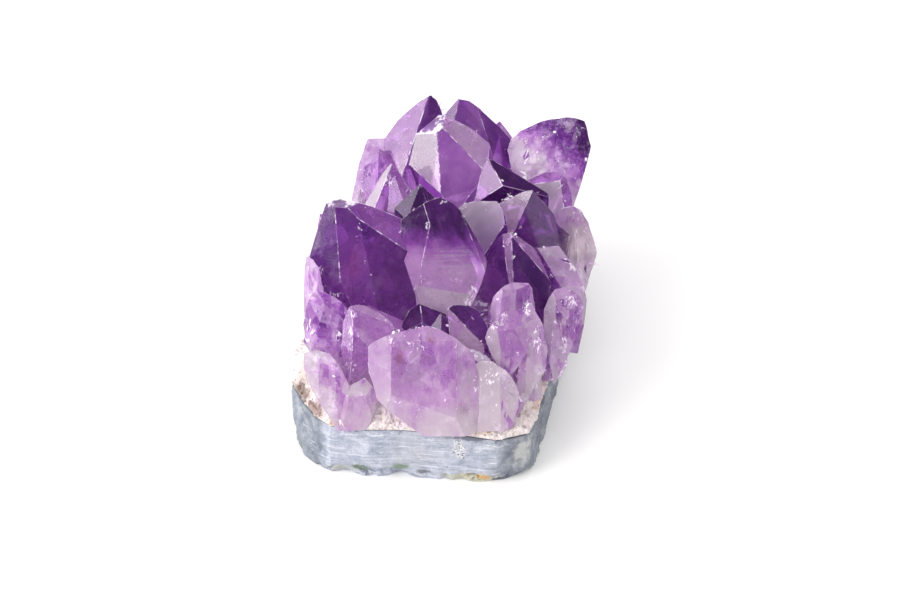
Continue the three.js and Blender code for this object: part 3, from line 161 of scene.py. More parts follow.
     [[0.0,90.0,6.0],[60.0,90.0,6.0],[120.0,90.0,6.0],[180.0,90.0,6.0],[240.0,90.0,6.0],[300.0,90.0,6.0]], (0.66, 26, 0.3)),  # r5
    ((-40.417, 67.943, 34.708), (-0.5034, -0.0298, 0.8636), (-0.6484, -0.6475, -0.4003),
     [[0.0,51.8,0.0],[60.0,51.8,0.0],[120.0,51.8,0.0],[180.0,51.8,0.0],[240.0,51.8,0.0],[300.0,51.8,0.0]],
     [[0.0,90.0,8.0],[60.0,90.0,8.0],[120.0,90.0,8.0],[180.0,90.0,8.0],[240.0,90.0,8.0],[300.0,90.0,8.0]], (0.66, 26, 0.3)),  # l1
    ((-41.238, 81.843, 32.788), (-0.5434, 0.0357, 0.8387), (-0.5525, -0.7674, -0.3253),
     [[0.0,51.8,0.0],[60.0,51.8,0.0],[120.0,51.8,0.0],[180.0,51.8,0.0],[240.0,51.8,0.0],[300.0,51.8,0.0]],
     [[0.0,90.0,8.0],[60.0,90.0,8.0],[120.0,90.0,8.0],[180.0,90.0,8.0],[240.0,90.0,8.0],[300.0,90.0,8.0]], (0.66, 26, 0.3)),  # l2
    ((-47.312, 53.439, 33.85), (-0.561, -0.1193, 0.8192), (-0.5899, -0.6366, -0.4967),
     [[0.0,51.8,0.0],[60.0,51.8,0.0],[120.0,51.8,0.0],[180.0,51.8,0.0],[240.0,51.8,0.0],[300.0,51.8,0.0]],
     [[0.0,90.0,7.0],[60.0,90.0,7.0],[120.0,90.0,7.0],[180.0,90.0,7.0],[240.0,90.0,7.0],[300.0,90.0,7.0]], (0.66, 26, 0.3)),  # l3
    ((-46.144, 40.388, 23.209), (-0.6917, -0.147, 0.7071), (-0.495, -0.6164, -0.6124),
     [[0.0,51.8,0.0],[60.0,51.8,0.0],[120.0,51.8,0.0],[180.0,51.8,0.0],[240.0,51.8,0.0],[300.0,51.8,0.0]],
     [[0.0,90.0,6.0],[60.0,90.0,6.0],[120.0,90.0,6.0],[180.0,90.0,6.0],[240.0,90.0,6.0],[300.0,90.0,6.0]], (0.66, 26, 0.3)),  # l4
    ((-47.517, 75.684, 26.213), (-0.7032, -0.0863, 0.7058), (-0.3183, -0.8493, -0.4211),
     [[0.0,51.8,0.0],[60.0,51.8,0.0],[120.0,51.8,0.0],[180.0,51.8,0.0],[240.0,51.8,0.0],[300.0,51.8,0.0]],
     [[0.0,90.0,7.0],[60.0,90.0,7.0],[120.0,90.0,7.0],[180.0,90.0,7.0],[240.0,90.0,7.0],[300.0,90.0,7.0]], (0.66, 26, 0.3)),  # l5
    ((-48.231, 60.392, 23.331), (-0.7269, -0.1545, 0.6691), (-0.4629, -0.6096, -0.6436),
     [[0.0,51.8,0.0],[60.0,51.8,0.0],[120.0,51.8,0.0],[180.0,51.8,0.0],[240.0,51.8,0.0],[300.0,51.8,0.0]],
     [[0.0,90.0,6.0],[60.0,90.0,6.0],[120.0,90.0,6.0],[180.0,90.0,6.0],[240.0,90.0,6.0],[300.0,90.0,6.0]], (0.66, 26, 0.3)),  # l6
    ((-24.738, 59.993, 39.296), (-0.103, 0.0669, 0.9924), (-0.5478, -0.8366, -0.0005),
     [[0.0,51.8,0.0],[60.0,51.8,0.0],[120.0,51.8,0.0],[180.0,51.8,0.0],[240.0,51.8,0.0],[300.0,51.8,0.0]],
     [[0.0,90.0,10.0],[60.0,90.0,10.0],[120.0,90.0,10.0],[180.0,90.0,10.0],[240.0,90.0,10.0],[300.0,90.0,10.0]], (0.66, 26, 0.3)),  # c1
    ((4.378, 82.544, 37.332), (0.1514, 0.1199, 0.9812), (-0.7234, -0.663, 0.1927),
     [[0.0,51.8,0.0],[60.0,51.8,0.0],[120.0,51.8,0.0],[180.0,51.8,0.0],[240.0,51.8,0.0],[300.0,51.8,0.0]],
     [[0.0,90.0,10.0],[60.0,90.0,10.0],[120.0,90.0,10.0],[180.0,90.0,10.0],[240.0,90.0,10.0],[300.0,90.0,10.0]], (0.66, 26, 0.3)),  # c2
    ((6.09, 56.61, 33.284), (0.0853, 0.0181, 0.9962), (-0.7399, -0.6684, 0.0755),
     [[0.0,51.8,0.0],[60.0,51.8,0.0],[120.0,51.8,0.0],[180.0,51.8,0.0],[240.0,51.8,0.0],[300.0,51.8,0.0]],
     [[0.0,90.0,8.0],[60.0,90.0,8.0],[120.0,90.0,8.0],[180.0,90.0,8.0],[240.0,90.0,8.0],[300.0,90.0,8.0]], (0.66, 26, 0.3)),  # c3
]

# Crystals with broken or crowded outlines: point, axis, planes [normal x, y, z, distance, kind, shade], look; shade is
# painted reflection (below 0, paler) and painted shade (above 0, darker) on that face.
SOLIDS = [
    ((-27.21, -19.2, 59.83), (0.067, 0.453, 0.889), [(0.1174, -0.8840, 0.4526, 42.58, 0, -0.02),
     (-0.1231, -0.9005, 0.4170, 47.14, 0, 0.02),
     (0.4516, -0.5161, 0.7278, 43.53, 0, -0.17),
     (0.2962, -0.8228, 0.4850, 39.53, 0, 0.04),
     (0.0785, -0.2188, 0.9726, 60.25, 3, 0.00),
     (-0.0609, -0.9328, 0.3551, 44.10, 0, 0.06),
     (-0.9379, 0.3177, 0.1391, 28.63, 1, 0.00),
     (-0.9728, 0.1556, 0.1716, 35.13, 1, 0.00),
     (0.0291, 0.8328, 0.5528, 17.04, 1, 0.00),
     (0.0723, 0.7396, 0.6692, 24.72, 1, 0.00),
     (0.1678, 0.7495, 0.6404, 21.20, 1, 0.00),
     (0.8827, 0.4677, 0.0451, -13.37, 1, 0.00),
     (0.8681, 0.4961, -0.0144, -16.83, 1, 0.00),
     (0.8742, 0.4856, -0.0006, -16.00, 1, 0.00),
     (0.9349, 0.2659, -0.2350, -18.77, 1, 0.00),
     (-0.3306, -0.3642, -0.8707, -12.45, 1, 0.00),
     (-0.3875, -0.3776, -0.8410, -9.75, 1, 0.00),
     (-0.8675, -0.1773, -0.4648, 11.86, 1, 0.00),
     (-0.9969, -0.0242, -0.0750, 29.29, 1, 0.00),
     (-0.1884, 0.8865, 0.4226, 17.72, 1, 0.00),
     (0.0000, 0.0000, -1.0000, -12.00, 2, 0.00)],
     (0.78, 60, 0.1)),  # O
    ((1.18, -12.21, 60.14), (0.093, 0.362, 0.928), [(0.2421, -0.8039, 0.5432, 43.50, 0, 0.00),
     (-0.0336, -0.8137, 0.5803, 46.23, 0, 0.04),
     (0.1784, -0.7394, 0.6492, 48.29, 0, 0.05),
     (0.6763, -0.4175, 0.6070, 44.18, 0, 0.03),
     (0.2335, -0.8827, 0.4078, 40.03, 0, -0.28),
     (-0.7103, 0.5510, 0.4379, 21.33, 1, 0.00),
     (-0.6352, 0.5155, 0.5751, 29.03, 1, 0.00),
     (-0.4577, 0.6103, 0.6465, 31.38, 1, 0.00),
     (0.2454, 0.8029, 0.5433, 22.52, 1, 0.00),
     (0.5460, 0.7454, 0.3825, 14.73, 1, 0.00),
     (0.7013, 0.6440, 0.3059, 12.50, 1, 0.00),
     (0.8138, 0.5776, 0.0649, 3.31, 1, 0.00),
     (0.8735, 0.2698, -0.4051, -11.66, 1, 0.00),
     (0.8545, 0.2061, -0.4769, -13.42, 1, 0.00),
     (-0.8197, -0.2889, -0.4946, -8.14, 1, 0.00),
     (-0.8893, -0.1178, -0.4419, -10.98, 1, 0.00),
     (-0.9907, -0.0251, -0.1336, 2.69, 1, 0.00),
     (-0.1884, 0.8865, 0.4226, 17.89, 1, 0.00),
     (0.0000, 0.0000, -1.0000, -12.00, 2, 0.00)],
     (0.93, 15.5, 0.1)),  # P
    ((12.13, -1.6, 53.93), (0.032, 0.352, 0.935), [(-0.4006, -0.8013, 0.4443, 20.38, 0, -0.70),
     (0.0926, -0.7936, 0.6013, 35.75, 0, 0.35),
     (0.0461, -0.9689, 0.2433, 18.35, 0, 0.30),
     (-0.6075, 0.5821, 0.5404, 25.57, 1, 0.00),
     (-0.2222, 0.7110, 0.6672, 33.16, 1, 0.00),
     (0.0747, 0.8303, 0.5523, 29.13, 1, 0.00),
     (0.7479, 0.6400, 0.1764, 17.80, 1, 0.00),
     (0.8525, 0.5216, 0.0339, 12.60, 1, 0.00),
     (0.9047, 0.3889, -0.1739, 4.24, 1, 0.00),
     (-0.8023, -0.2529, -0.5407, -27.77, 1, 0.00),
     (-0.1884, 0.8865, 0.4226, 28.25, 1, 0.00),
     (0.0000, 0.0000, -1.0000, -12.00, 2, 0.00)],
     (0.42, 30, 0.15)),  # Q
    ((21.04, 5.63, 53.38), (-0.09, 0.426, 0.9), [(-0.4163, -0.7965, 0.4385, 10.30, 0, -0.74),
     (0.5567, -0.8244, 0.1016, 12.49, 0, 0.06),
     (0.4583, -0.7909, -0.4055, -7.84, 0, -0.30),
     (-0.3420, 0.7594, 0.5535, 27.59, 1, 0.00),
     (-0.1068, 0.8041, 0.5849, 33.74, 1, 0.00),
     (0.4334, 0.7390, 0.5159, 40.87, 1, 0.00),
     (0.7016, 0.6922, 0.1691, 31.97, 1, 0.00),
     (0.8052, 0.5767, 0.1381, 32.65, 1, 0.00),
     (0.7583, 0.6350, 0.1472, 32.14, 1, 0.00),
     (-0.9510, -0.1397, -0.2757, -24.48, 1, 0.00),
     (-0.1884, 0.8865, 0.4226, 36.37, 1, 0.00),
     (0.0000, 0.0000, -1.0000, -12.00, 2, 0.00)],
     (0.8, 44, 0.06)),  # R
    ((17.55, -11.53, 50.44), (-0.09, 0.426, 0.9), [(0.3853, -0.8344, 0.3942, 36.90, 0, 0.06),
     (-0.2925, -0.8985, 0.3274, 21.74, 0, -0.55),
     (-0.5088, -0.8264, 0.2412, 13.17, 0, -0.12),
     (0.7175, -0.2527, 0.6491, 48.94, 0, -0.42),
     (-0.9683, 0.1955, 0.1556, -6.72, 1, 0.00),
     (-0.9196, 0.2543, 0.2993, -1.04, 1, 0.00),
     (-0.6213, 0.5927, 0.5126, 9.12, 1, 0.00),
     (-0.1771, 0.7343, 0.6553, 21.73, 1, 0.00),
     (0.1955, 0.7768, 0.5986, 25.29, 1, 0.00),
     (0.3237, 0.7594, 0.5644, 26.51, 1, 0.00),
     (0.6508, 0.7218, 0.2355, 19.85, 1, 0.00),
     (0.7820, 0.5997, 0.1700, 21.65, 1, 0.00),
     (0.9178, 0.3132, -0.2441, 13.97, 1, 0.00),
     (-0.1884, 0.8865, 0.4226, 15.64, 1, 0.00),
     (0.0000, 0.0000, -1.0000, -12.00, 2, 0.00)],
     (0.8, 50, 0.06)),  # S
    ((28.18, -4.46, 43.42), (0.032, 0.352, 0.935), [(0.3931, -0.7716, 0.5000, 36.23, 0, -0.15),
     (0.0090, -0.9613, 0.2752, 18.20, 0, 0.38),
     (0.7322, -0.2336, 0.6398, 50.60, 0, -0.30),
     (-0.3310, 0.7402, 0.5853, 12.60, 1, 0.00),
     (0.5629, 0.7641, 0.3151, 27.62, 1, 0.00),
     (0.7243, 0.6660, 0.1786, 28.65, 1, 0.00),
     (0.7878, 0.6137, 0.0520, 27.11, 1, 0.00),
     (0.9272, 0.3139, -0.2044, 27.24, 1, 0.00),
     (-0.9691, -0.0136, -0.2461, -33.38, 1, 0.00),
     (-0.9775, -0.0071, -0.2107, -32.47, 1, 0.00),
     (-0.1884, 0.8865, 0.4226, 14.71, 1, 0.00),
     (0.0000, 0.0000, -1.0000, -12.00, 2, 0.00)],
     (0.32, 18, 0.35)),  # T
    ((30.88, 17.24, 42.83), (-0.071, 0.332, 0.941), [(0.5631, -0.7122, 0.4192, 23.46, 0, 0.00),
     (0.0142, -0.9133, 0.4070, 2.98, 0, -0.10),
     (0.7588, -0.4332, 0.4865, 36.80, 0, 0.05),
     (-0.6363, 0.5731, 0.5164, 13.43, 1, 0.00),
     (-0.2971, 0.7023, 0.6469, 30.34, 1, 0.00),
     (0.0747, 0.7648, 0.6399, 42.50, 1, 0.00),
     (0.6287, 0.7392, 0.2415, 43.91, 1, 0.00),
     (0.8223, 0.5501, 0.1461, 43.68, 1, 0.00),
     (0.9366, 0.2276, -0.2663, 30.92, 1, 0.00),
     (0.8666, 0.2785, -0.4141, 24.86, 1, 0.00),
     (-0.9451, -0.1573, -0.2865, -37.37, 1, 0.00),
     (-0.9468, -0.0395, -0.3195, -37.13, 1, 0.00),
     (-0.9837, 0.0336, -0.1765, -32.00, 1, 0.00),
     (-0.1884, 0.8865, 0.4226, 31.07, 1, 0.00),
     (0.0000, 0.0000, -1.0000, -12.00, 2, 0.00)],
     (0.26, 9, 0.7)),  # I
    ((23.86, 27.04, 46.48), (-0.071, 0.332, 0.941), [(0.0650, -0.8087, 0.5846, 8.12, 0, -0.48),
     (-0.0429, -0.4824, 0.8749, 26.59, 0, -0.05),
     (0.4797, -0.6354, 0.6051, 23.85, 0, 0.05),
     (-0.5721, 0.6491, 0.5013, 28.66, 1, 0.00),
     (-0.1112, 0.7121, 0.6932, 48.82, 1, 0.00),
     (0.6375, 0.6774, 0.3669, 51.38, 1, 0.00),
     (0.8345, 0.5310, 0.1473, 43.06, 1, 0.00),
     (0.8836, 0.4383, -0.1646, 29.30, 1, 0.00),
     (-0.9829, -0.0535, -0.1764, -25.42, 1, 0.00),
     (-0.1884, 0.8865, 0.4226, 44.57, 1, 0.00),
     (0.0000, 0.0000, -1.0000, -12.00, 2, 0.00)],
     (0.46, 30, 0.25)),  # H
    ((29.9, 43.99, 53.35), (0.621, 0.384, 0.683), [(-0.0473, -0.7752, 0.6300, 3.28, 0, 0.00),
     (0.3450, -0.6466, 0.6803, 19.59, 0, 0.06),
     (-0.1419, -0.4871, 0.8617, 24.14, 0, 0.02),
     (0.6378, -0.4753, 0.6061, 30.50, 0, 0.10),
     (-0.9901, 0.1301, 0.0525, -2.06, 1, 0.00),
     (-0.7850, 0.4895, 0.3798, 29.17, 1, 0.00),
     (-0.5258, 0.6143, 0.5884, 47.70, 1, 0.00),
     (-0.3659, 0.7530, 0.5469, 53.79, 1, 0.00),
     (-0.0854, 0.8003, 0.5935, 64.25, 1, 0.00),
     (-0.1441, 0.7574, 0.6368, 63.30, 1, 0.00),
     (0.7962, 0.5745, 0.1898, 58.21, 1, 0.00),
     (0.8990, 0.4365, 0.0342, 47.42, 1, 0.00),
     (0.8717, 0.2643, -0.4127, 18.16, 1, 0.00),
     (0.8975, 0.1529, -0.4137, 14.91, 1, 0.00),
     (-0.8703, -0.2688, -0.4127, -35.58, 1, 0.00),
     (-0.9419, -0.1350, -0.3076, -27.74, 1, 0.00),
     (-0.1884, 0.8865, 0.4226, 61.22, 1, 0.00),
     (0.0000, 0.0000, -1.0000, -12.00, 2, 0.00)],
     (0.76, 15, 0.5)),  # F
    ((-11.8, 28.76, 65.69), (-0.071, 0.332, 0.941), [(-0.3937, -0.7668, 0.5070, 16.28, 0, -0.36),
     (0.3668, -0.8603, 0.3539, -5.83, 0, 0.02),
     (-0.8250, 0.3707, 0.4266, 51.91, 1, 0.00),
     (-0.6536, 0.5642, 0.5045, 58.10, 1, 0.00),
     (-0.6037, 0.5778, 0.5493, 60.33, 1, 0.00),
     (-0.4863, 0.6210, 0.6147, 63.98, 1, 0.00),
     (0.3384, 0.8254, 0.4519, 49.43, 1, 0.00),
     (0.7254, 0.6557, 0.2096, 25.04, 1, 0.00),
     (0.8421, 0.5304, 0.0973, 13.65, 1, 0.00),
     (0.9247, 0.3747, -0.0678, -0.40, 1, 0.00),
     (-0.9915, -0.0496, -0.1206, 16.87, 1, 0.00),
     (-0.1884, 0.8865, 0.4226, 63.85, 1, 0.00),
     (0.0000, 0.0000, -1.0000, -12.00, 2, 0.00)],
     (0.8, 30, 0.15)),  # A
    ((-27.48, 30.22, 49.38), (-0.071, 0.332, 0.941), [(0.0471, -0.8847, 0.4638, -2.61, 0, 0.02),
     (0.4164, -0.8201, 0.3924, -13.28, 0, 0.14),
     (-0.2210, -0.6435, 0.7328, 22.82, 0, -0.06),
     (-0.3631, -0.8217, 0.4393, 10.19, 0, -0.10),
     (-0.9763, 0.2157, 0.0179, 37.28, 1, 0.00),
     (-0.9848, 0.1639, 0.0566, 37.89, 1, 0.00),
     (-0.1701, 0.7768, 0.6063, 57.96, 1, 0.00),
     (-0.0232, 0.8005, 0.5989, 54.10, 1, 0.00),
     (0.6795, 0.6832, 0.2673, 16.36, 1, 0.00),
     (0.7803, 0.6075, 0.1485, 6.41, 1, 0.00),
     (0.9295, 0.3608, -0.0766, -13.23, 1, 0.00),
     (-0.9804, 0.0263, -0.1951, 26.61, 1, 0.00),
     (-0.1884, 0.8865, 0.4226, 54.51, 1, 0.00),
     (0.0000, 0.0000, -1.0000, -12.00, 2, 0.00)],
     (0.36, 24, 0.35)),  # J
    ((-5.17, 40.21, 58.69), (-0.071, 0.332, 0.941), [(0.2220, -0.7106, 0.6677, 9.47, 0, -0.05),
     (-0.2936, -0.6676, 0.6841, 15.34, 0, -0.10),
     (0.5866, -0.4471, 0.6753, 20.07, 0, 0.06),
     (0.7416, -0.3833, 0.5505, 17.17, 0, 0.12),
     (-0.9869, -0.0062, -0.1611, 1.16, 1, 0.00),
     (-0.7929, 0.4953, 0.3550, 45.83, 1, 0.00),
     (-0.0080, 0.8039, 0.5947, 67.09, 1, 0.00),
     (0.4306, 0.7812, 0.4521, 56.47, 1, 0.00),
     (0.3931, 0.8187, 0.4187, 56.09, 1, 0.00),
     (0.8886, 0.2937, -0.3523, 5.63, 1, 0.00),
     (-0.1884, 0.8865, 0.4226, 71.03, 1, 0.00),
     (0.0000, 0.0000, -1.0000, -12.00, 2, 0.00)],
     (0.66, 40, 0.15)),  # D
    ((-9.93, 27.8, 60.12), (-0.071, 0.332, 0.941), [(-0.3688, -0.8103, 0.4554, 11.95, 0, -0.62),
     (0.3680, -0.7355, 0.5688, 13.83, 0, -0.16),
     (0.5886, -0.3380, 0.7343, 31.22, 0, -0.50),
     (-0.5648, -0.8231, -0.0596, -9.98, 0, 0.08),
     (-0.5644, -0.6680, 0.4850, 19.97, 0, -0.60),
     (-0.3796, -0.3750, 0.8458, 44.19, 3, 0.00),
     (-0.8326, 0.4634, 0.3034, 42.52, 1, 0.00),
     (-0.7535, 0.5131, 0.4110, 48.79, 1, 0.00),
     (-0.1519, 0.7114, 0.6861, 62.48, 1, 0.00),
     (0.0764, 0.8057, 0.5873, 56.95, 1, 0.00),
     (0.1929, 0.7915, 0.5799, 55.45, 1, 0.00),
     (0.3741, 0.8120, 0.4481, 48.59, 1, 0.00),
     (0.9348, 0.2582, -0.2441, -0.69, 1, 0.00),
     (0.8956, 0.2144, -0.3896, -9.25, 1, 0.00),
     (-0.9856, -0.0187, -0.1682, 10.61, 1, 0.00),
     (-0.1884, 0.8865, 0.4226, 57.97, 1, 0.00),
     (0.0000, 0.0000, -1.0000, -12.00, 2, 0.00)],
     (0.64, 46, 0.1)),  # B
    ((7.16, 15.41, 55.95), (-0.071, 0.332, 0.941), [(-0.3833, -0.7393, 0.5537, 17.03, 0, -0.50),
     (0.2240, -0.4366, 0.8713, 43.62, 0, 0.20),
     (0.0902, -0.9954, 0.0326, -6.50, 0, 0.20),
     (-0.9926, 0.1067, 0.0584, -0.86, 1, 0.00),
     (-0.9003, 0.3415, 0.2700, 14.25, 1, 0.00),
     (0.0314, 0.8167, 0.5762, 44.72, 1, 0.00),
     (0.3622, 0.7945, 0.4874, 42.20, 1, 0.00),
     (0.3861, 0.7473, 0.5408, 44.69, 1, 0.00),
     (0.3950, 0.7288, 0.5594, 45.57, 1, 0.00),
     (0.8677, 0.4966, -0.0224, 25.55, 1, 0.00),
     (-0.9817, -0.0770, -0.1742, -12.95, 1, 0.00),
     (-0.1884, 0.8865, 0.4226, 40.35, 1, 0.00),
     (0.0000, 0.0000, -1.0000, -12.00, 2, 0.00)],
     (0.86, 50, 0.06)),  # G
    ((-19.32, 11.97, 53.02), (-0.071, 0.332, 0.941), [(0.1381, -0.8177, 0.5588, 17.40, 0, -0.12),
     (-0.3888, -0.6722, 0.6301, 32.87, 0, -0.80),
     (0.3605, -0.8456, 0.3937, 6.26, 0, -0.10),
     (-0.9569, 0.2106, 0.1998, 34.05, 1, 0.00),
     (-0.9129, 0.2795, 0.2976, 37.52, 1, 0.00),
     (-0.7995, 0.4694, 0.3747, 40.93, 1, 0.00),
     (0.5514, 0.7518, 0.3616, 17.51, 1, 0.00),
     (0.6893, 0.7009, 0.1833, 5.38, 1, 0.00),
     (0.8730, 0.4710, -0.1266, -13.47, 1, 0.00),
     (-0.1884, 0.8865, 0.4226, 40.66, 1, 0.00),
     (0.0000, 0.0000, -1.0000, -12.00, 2, 0.00)],
     (0.62, 30, 0.15)),  # K
    ((-15.71, -38.31, 41.92), (-0.071, 0.332, 0.941), [(0.3286, -0.7963, 0.5078, 47.51, 0, -0.06),
     (-0.1784, -0.8784, 0.4435, 57.02, 0, 0.04),
     (0.4340, -0.3908, 0.8118, 42.18, 0, -0.14),
     (0.4816, -0.8163, 0.3191, 40.77, 0, -0.05),
     (0.2473, -0.8613, 0.4439, 49.29, 0, 0.10),
     (-0.9937, 0.0922, -0.0644, 13.00, 1, 0.00),
     (-0.9488, 0.2222, 0.2246, 17.72, 1, 0.00),
     (-0.4893, 0.6652, 0.5639, 5.82, 1, 0.00),
     (-0.0505, 0.7651, 0.6419, -1.85, 1, 0.00),
     (0.2971, 0.7756, 0.5569, -10.70, 1, 0.00),
     (0.4172, 0.7992, 0.4327, -17.66, 1, 0.00),
     (0.7299, 0.6720, 0.1253, -26.69, 1, 0.00),
     (0.9316, 0.2490, -0.2649, -24.84, 1, 0.00),
     (-0.9349, -0.1358, -0.3280, 13.80, 1, 0.00),
     (-0.1884, 0.8865, 0.4226, -6.75, 1, 0.00),
     (0.0000, 0.0000, -1.0000, -12.00, 2, 0.00)],
     (0.4, 24, 0.28)),  # V
    ((-23.82, -37.26, 44.05), (-0.071, 0.332, 0.941), [(0.0471, -0.8847, 0.4638, 53.31, 0, 0.00),
     (-0.3300, -0.8449, 0.4210, 59.34, 0, -0.10),
     (0.3535, -0.8307, 0.4301, 43.43, 0, 0.08),
     (0.0525, -0.6722, 0.7385, 56.33, 0, 0.00),
     (-0.1069, -0.9153, 0.3883, 55.33, 0, 0.12),
     (-0.9929, 0.0920, 0.0757, 29.01, 1, 0.00),
     (-0.8930, 0.2961, 0.3390, 28.78, 1, 0.00),
     (-0.1013, 0.7271, 0.6790, 4.93, 1, 0.00),
     (0.3407, 0.7712, 0.5377, -13.99, 1, 0.00),
     (0.5469, 0.7657, 0.3386, -26.71, 1, 0.00),
     (0.8761, 0.4800, -0.0460, -37.31, 1, 0.00),
     (0.8621, 0.4777, -0.1693, -41.35, 1, 0.00),
     (-0.8112, -0.2857, -0.5102, 19.97, 1, 0.00),
     (-0.9708, -0.1080, -0.2141, 26.42, 1, 0.00),
     (-0.1884, 0.8865, 0.4226, -5.95, 1, 0.00),
     (0.0000, 0.0000, -1.0000, -12.00, 2, 0.00)],
     (0.5, 20, 0.45)),  # V2
    ((-31.17, -29.03, 48.31), (-0.071, 0.332, 0.941), [(-0.1287, -0.8725, 0.4714, 52.11, 0, -0.10),
     (0.3843, -0.8083, 0.4461, 34.42, 0, 0.00),
     (-0.4568, -0.8042, 0.3802, 56.16, 0, -0.10),
     (-0.9939, 0.0789, 0.0774, 33.56, 1, 0.00),
     (0.3006, 0.7580, 0.5789, -3.76, 1, 0.00),
     (0.7070, 0.6468, 0.2860, -26.79, 1, 0.00),
     (0.8176, 0.5755, -0.0148, -41.41, 1, 0.00),
     (0.9107, 0.3972, -0.1131, -41.97, 1, 0.00),
     (-0.8056, -0.2316, -0.5452, 16.84, 1, 0.00),
     (-0.9831, 0.1007, -0.1531, 22.18, 1, 0.00),
     (-0.1884, 0.8865, 0.4226, 3.27, 1, 0.00),
     (0.0000, 0.0000, -1.0000, -12.00, 2, 0.00)],
     (0.28, 16, 0.6)),  # N1
    ((9.39, -31.03, 40.53), (-0.071, 0.332, 0.941), [(0.3585, -0.6889, 0.6300, 50.27, 0, 0.03),
     (-0.0373, -0.9685, 0.2463, 41.66, 0, -0.75),
     (0.6125, -0.7581, 0.2240, 43.95, 0, 0.00),
     (-0.6845, 0.5939, 0.4227, -6.83, 1, 0.00),
     (-0.2148, 0.7481, 0.6278, -0.04, 1, 0.00),
     (0.2319, 0.7983, 0.5558, 0.39, 1, 0.00),
     (0.6780, 0.6991, 0.2271, -3.34, 1, 0.00),
     (0.8466, 0.5258, 0.0821, -0.22, 1, 0.00),
     (0.8452, 0.5324, -0.0471, -4.87, 1, 0.00),
     (-0.9819, 0.0304, -0.1871, -14.08, 1, 0.00),
     (-0.9871, 0.0330, -0.1564, -13.15, 1, 0.00),
     (-0.1884, 0.8865, 0.4226, -5.16, 1, 0.00),
     (0.0000, 0.0000, -1.0000, -12.00, 2, 0.00)],
     (0.84, 44, 0.08)),  # U1
    ((-1.93, -31.03, 39.13), (-0.071, 0.332, 0.941), [(0.0279, -0.8781, 0.4776, 45.88, 0, 0.08),
     (0.4519, -0.7314, 0.5108, 41.91, 0, 0.06),
     (0.2187, -0.9555, 0.1979, 38.61, 0, -0.05),
     (-0.9778, 0.1488, 0.1477, 5.55, 1, 0.00),
     (-0.9319, 0.2391, 0.2728, 6.55, 1, 0.00),
     (-0.6253, 0.5342, 0.5689, 6.79, 1, 0.00),
     (0.1294, 0.7806, 0.6115, -0.66, 1, 0.00),
     (0.8531, 0.5148, -0.0847, -14.05, 1, 0.00),
     (-0.9938, 0.0369, -0.1049, 1.70, 1, 0.00),
     (-0.1884, 0.8865, 0.4226, -2.32, 1, 0.00),
     (0.0000, 0.0000, -1.0000, -12.00, 2, 0.00)],
     (0.88, 44, 0.08)),  # U3
    ((21.72, -23.37, 44.26), (-0.071, 0.332, 0.941), [(0.1497, -0.8704, 0.4691, 45.93, 0, -0.05),
     (-0.4599, -0.7749, 0.4336, 30.30, 0, -0.12),
     (0.4163, -0.7973, 0.4370, 48.68, 0, 0.22),
     (0.0347, -0.4076, 0.9125, 50.67, 0, -0.10),
     (0.8097, -0.4731, 0.3471, 47.20, 0, -0.05),
     (-0.9724, 0.2310, 0.0318, -20.90, 1, 0.00),
     (-0.7286, 0.5558, 0.4003, -10.48, 1, 0.00),
     (-0.7380, 0.5537, 0.3856, -11.22, 1, 0.00),
     (-0.4717, 0.6157, 0.6312, 3.13, 1, 0.00),
     (-0.0694, 0.8022, 0.5930, 5.68, 1, 0.00),
     (0.6528, 0.6620, 0.3682, 17.18, 1, 0.00),
     (0.8470, 0.5258, 0.0778, 13.13, 1, 0.00),
     (0.8386, 0.5417, -0.0570, 7.32, 1, 0.00),
     (-0.9523, -0.1098, -0.2847, -22.91, 1, 0.00),
     (-0.1884, 0.8865, 0.4226, 1.90, 1, 0.00),
     (0.0000, 0.0000, -1.0000, -12.00, 2, 0.00)],
     (0.32, 20, 0.35)),  # AA1
    ((22.33, -30.48, 40.2), (-0.071, 0.332, 0.941), [(0.3355, -0.8375, 0.4312, 53.33, 0, 0.02),
     (-0.3591, -0.8951, 0.2642, 35.45, 0, -0.40),
     (0.2042, -0.4643, 0.8618, 53.36, 0, -0.02),
     (0.5428, -0.6685, 0.5085, 55.29, 0, -0.10),
     (0.3573, -0.8947, 0.2680, 50.69, 0, 0.10),
     (-0.9438, 0.2752, 0.1828, -19.16, 1, 0.00),
     (-0.8144, 0.4561, 0.3588, -16.86, 1, 0.00),
     (-0.8116, 0.4452, 0.3783, -15.67, 1, 0.00),
     (-0.3125, 0.6859, 0.6571, -1.76, 1, 0.00),
     (0.4068, 0.7411, 0.5342, 9.15, 1, 0.00),
     (0.8079, 0.5804, 0.1023, 8.25, 1, 0.00),
     (0.8844, 0.1412, -0.4449, 4.85, 1, 0.00),
     (0.7832, 0.1400, -0.6058, -2.36, 1, 0.00),
     (-0.5712, -0.2896, -0.7680, -22.29, 1, 0.00),
     (-0.7998, -0.2952, -0.5226, -19.76, 1, 0.00),
     (-0.9011, -0.1469, -0.4079, -23.58, 1, 0.00),
     (-0.1884, 0.8865, 0.4226, -10.71, 1, 0.00),
     (0.0000, 0.0000, -1.0000, -12.00, 2, 0.00)],
     (0.3, 20, 0.4)),  # AA2
    ((26.99, -27.62, 41.08), (-0.071, 0.332, 0.941), [(0.3853, -0.8344, 0.3942, 52.59, 0, -0.04),
     (0.0124, -0.9151, 0.4031, 45.56, 0, 0.05),
     (0.6977, -0.6175, 0.3631, 53.78, 0, 0.02),
     (0.4159, -0.5107, 0.7525, 56.24, 0, -0.10),
     (-0.9898, 0.1207, -0.0751, -31.75, 1, 0.00),
     (-0.9729, 0.2096, 0.0975, -27.41, 1, 0.00),
     (0.1747, 0.7898, 0.5880, 6.74, 1, 0.00),
     (0.8168, 0.5728, 0.0684, 9.80, 1, 0.00),
     (0.7391, 0.6606, 0.1319, 7.06, 1, 0.00),
     (0.9054, 0.3466, -0.2453, 10.55, 1, 0.00),
     (0.8321, 0.1676, -0.5287, 6.77, 1, 0.00),
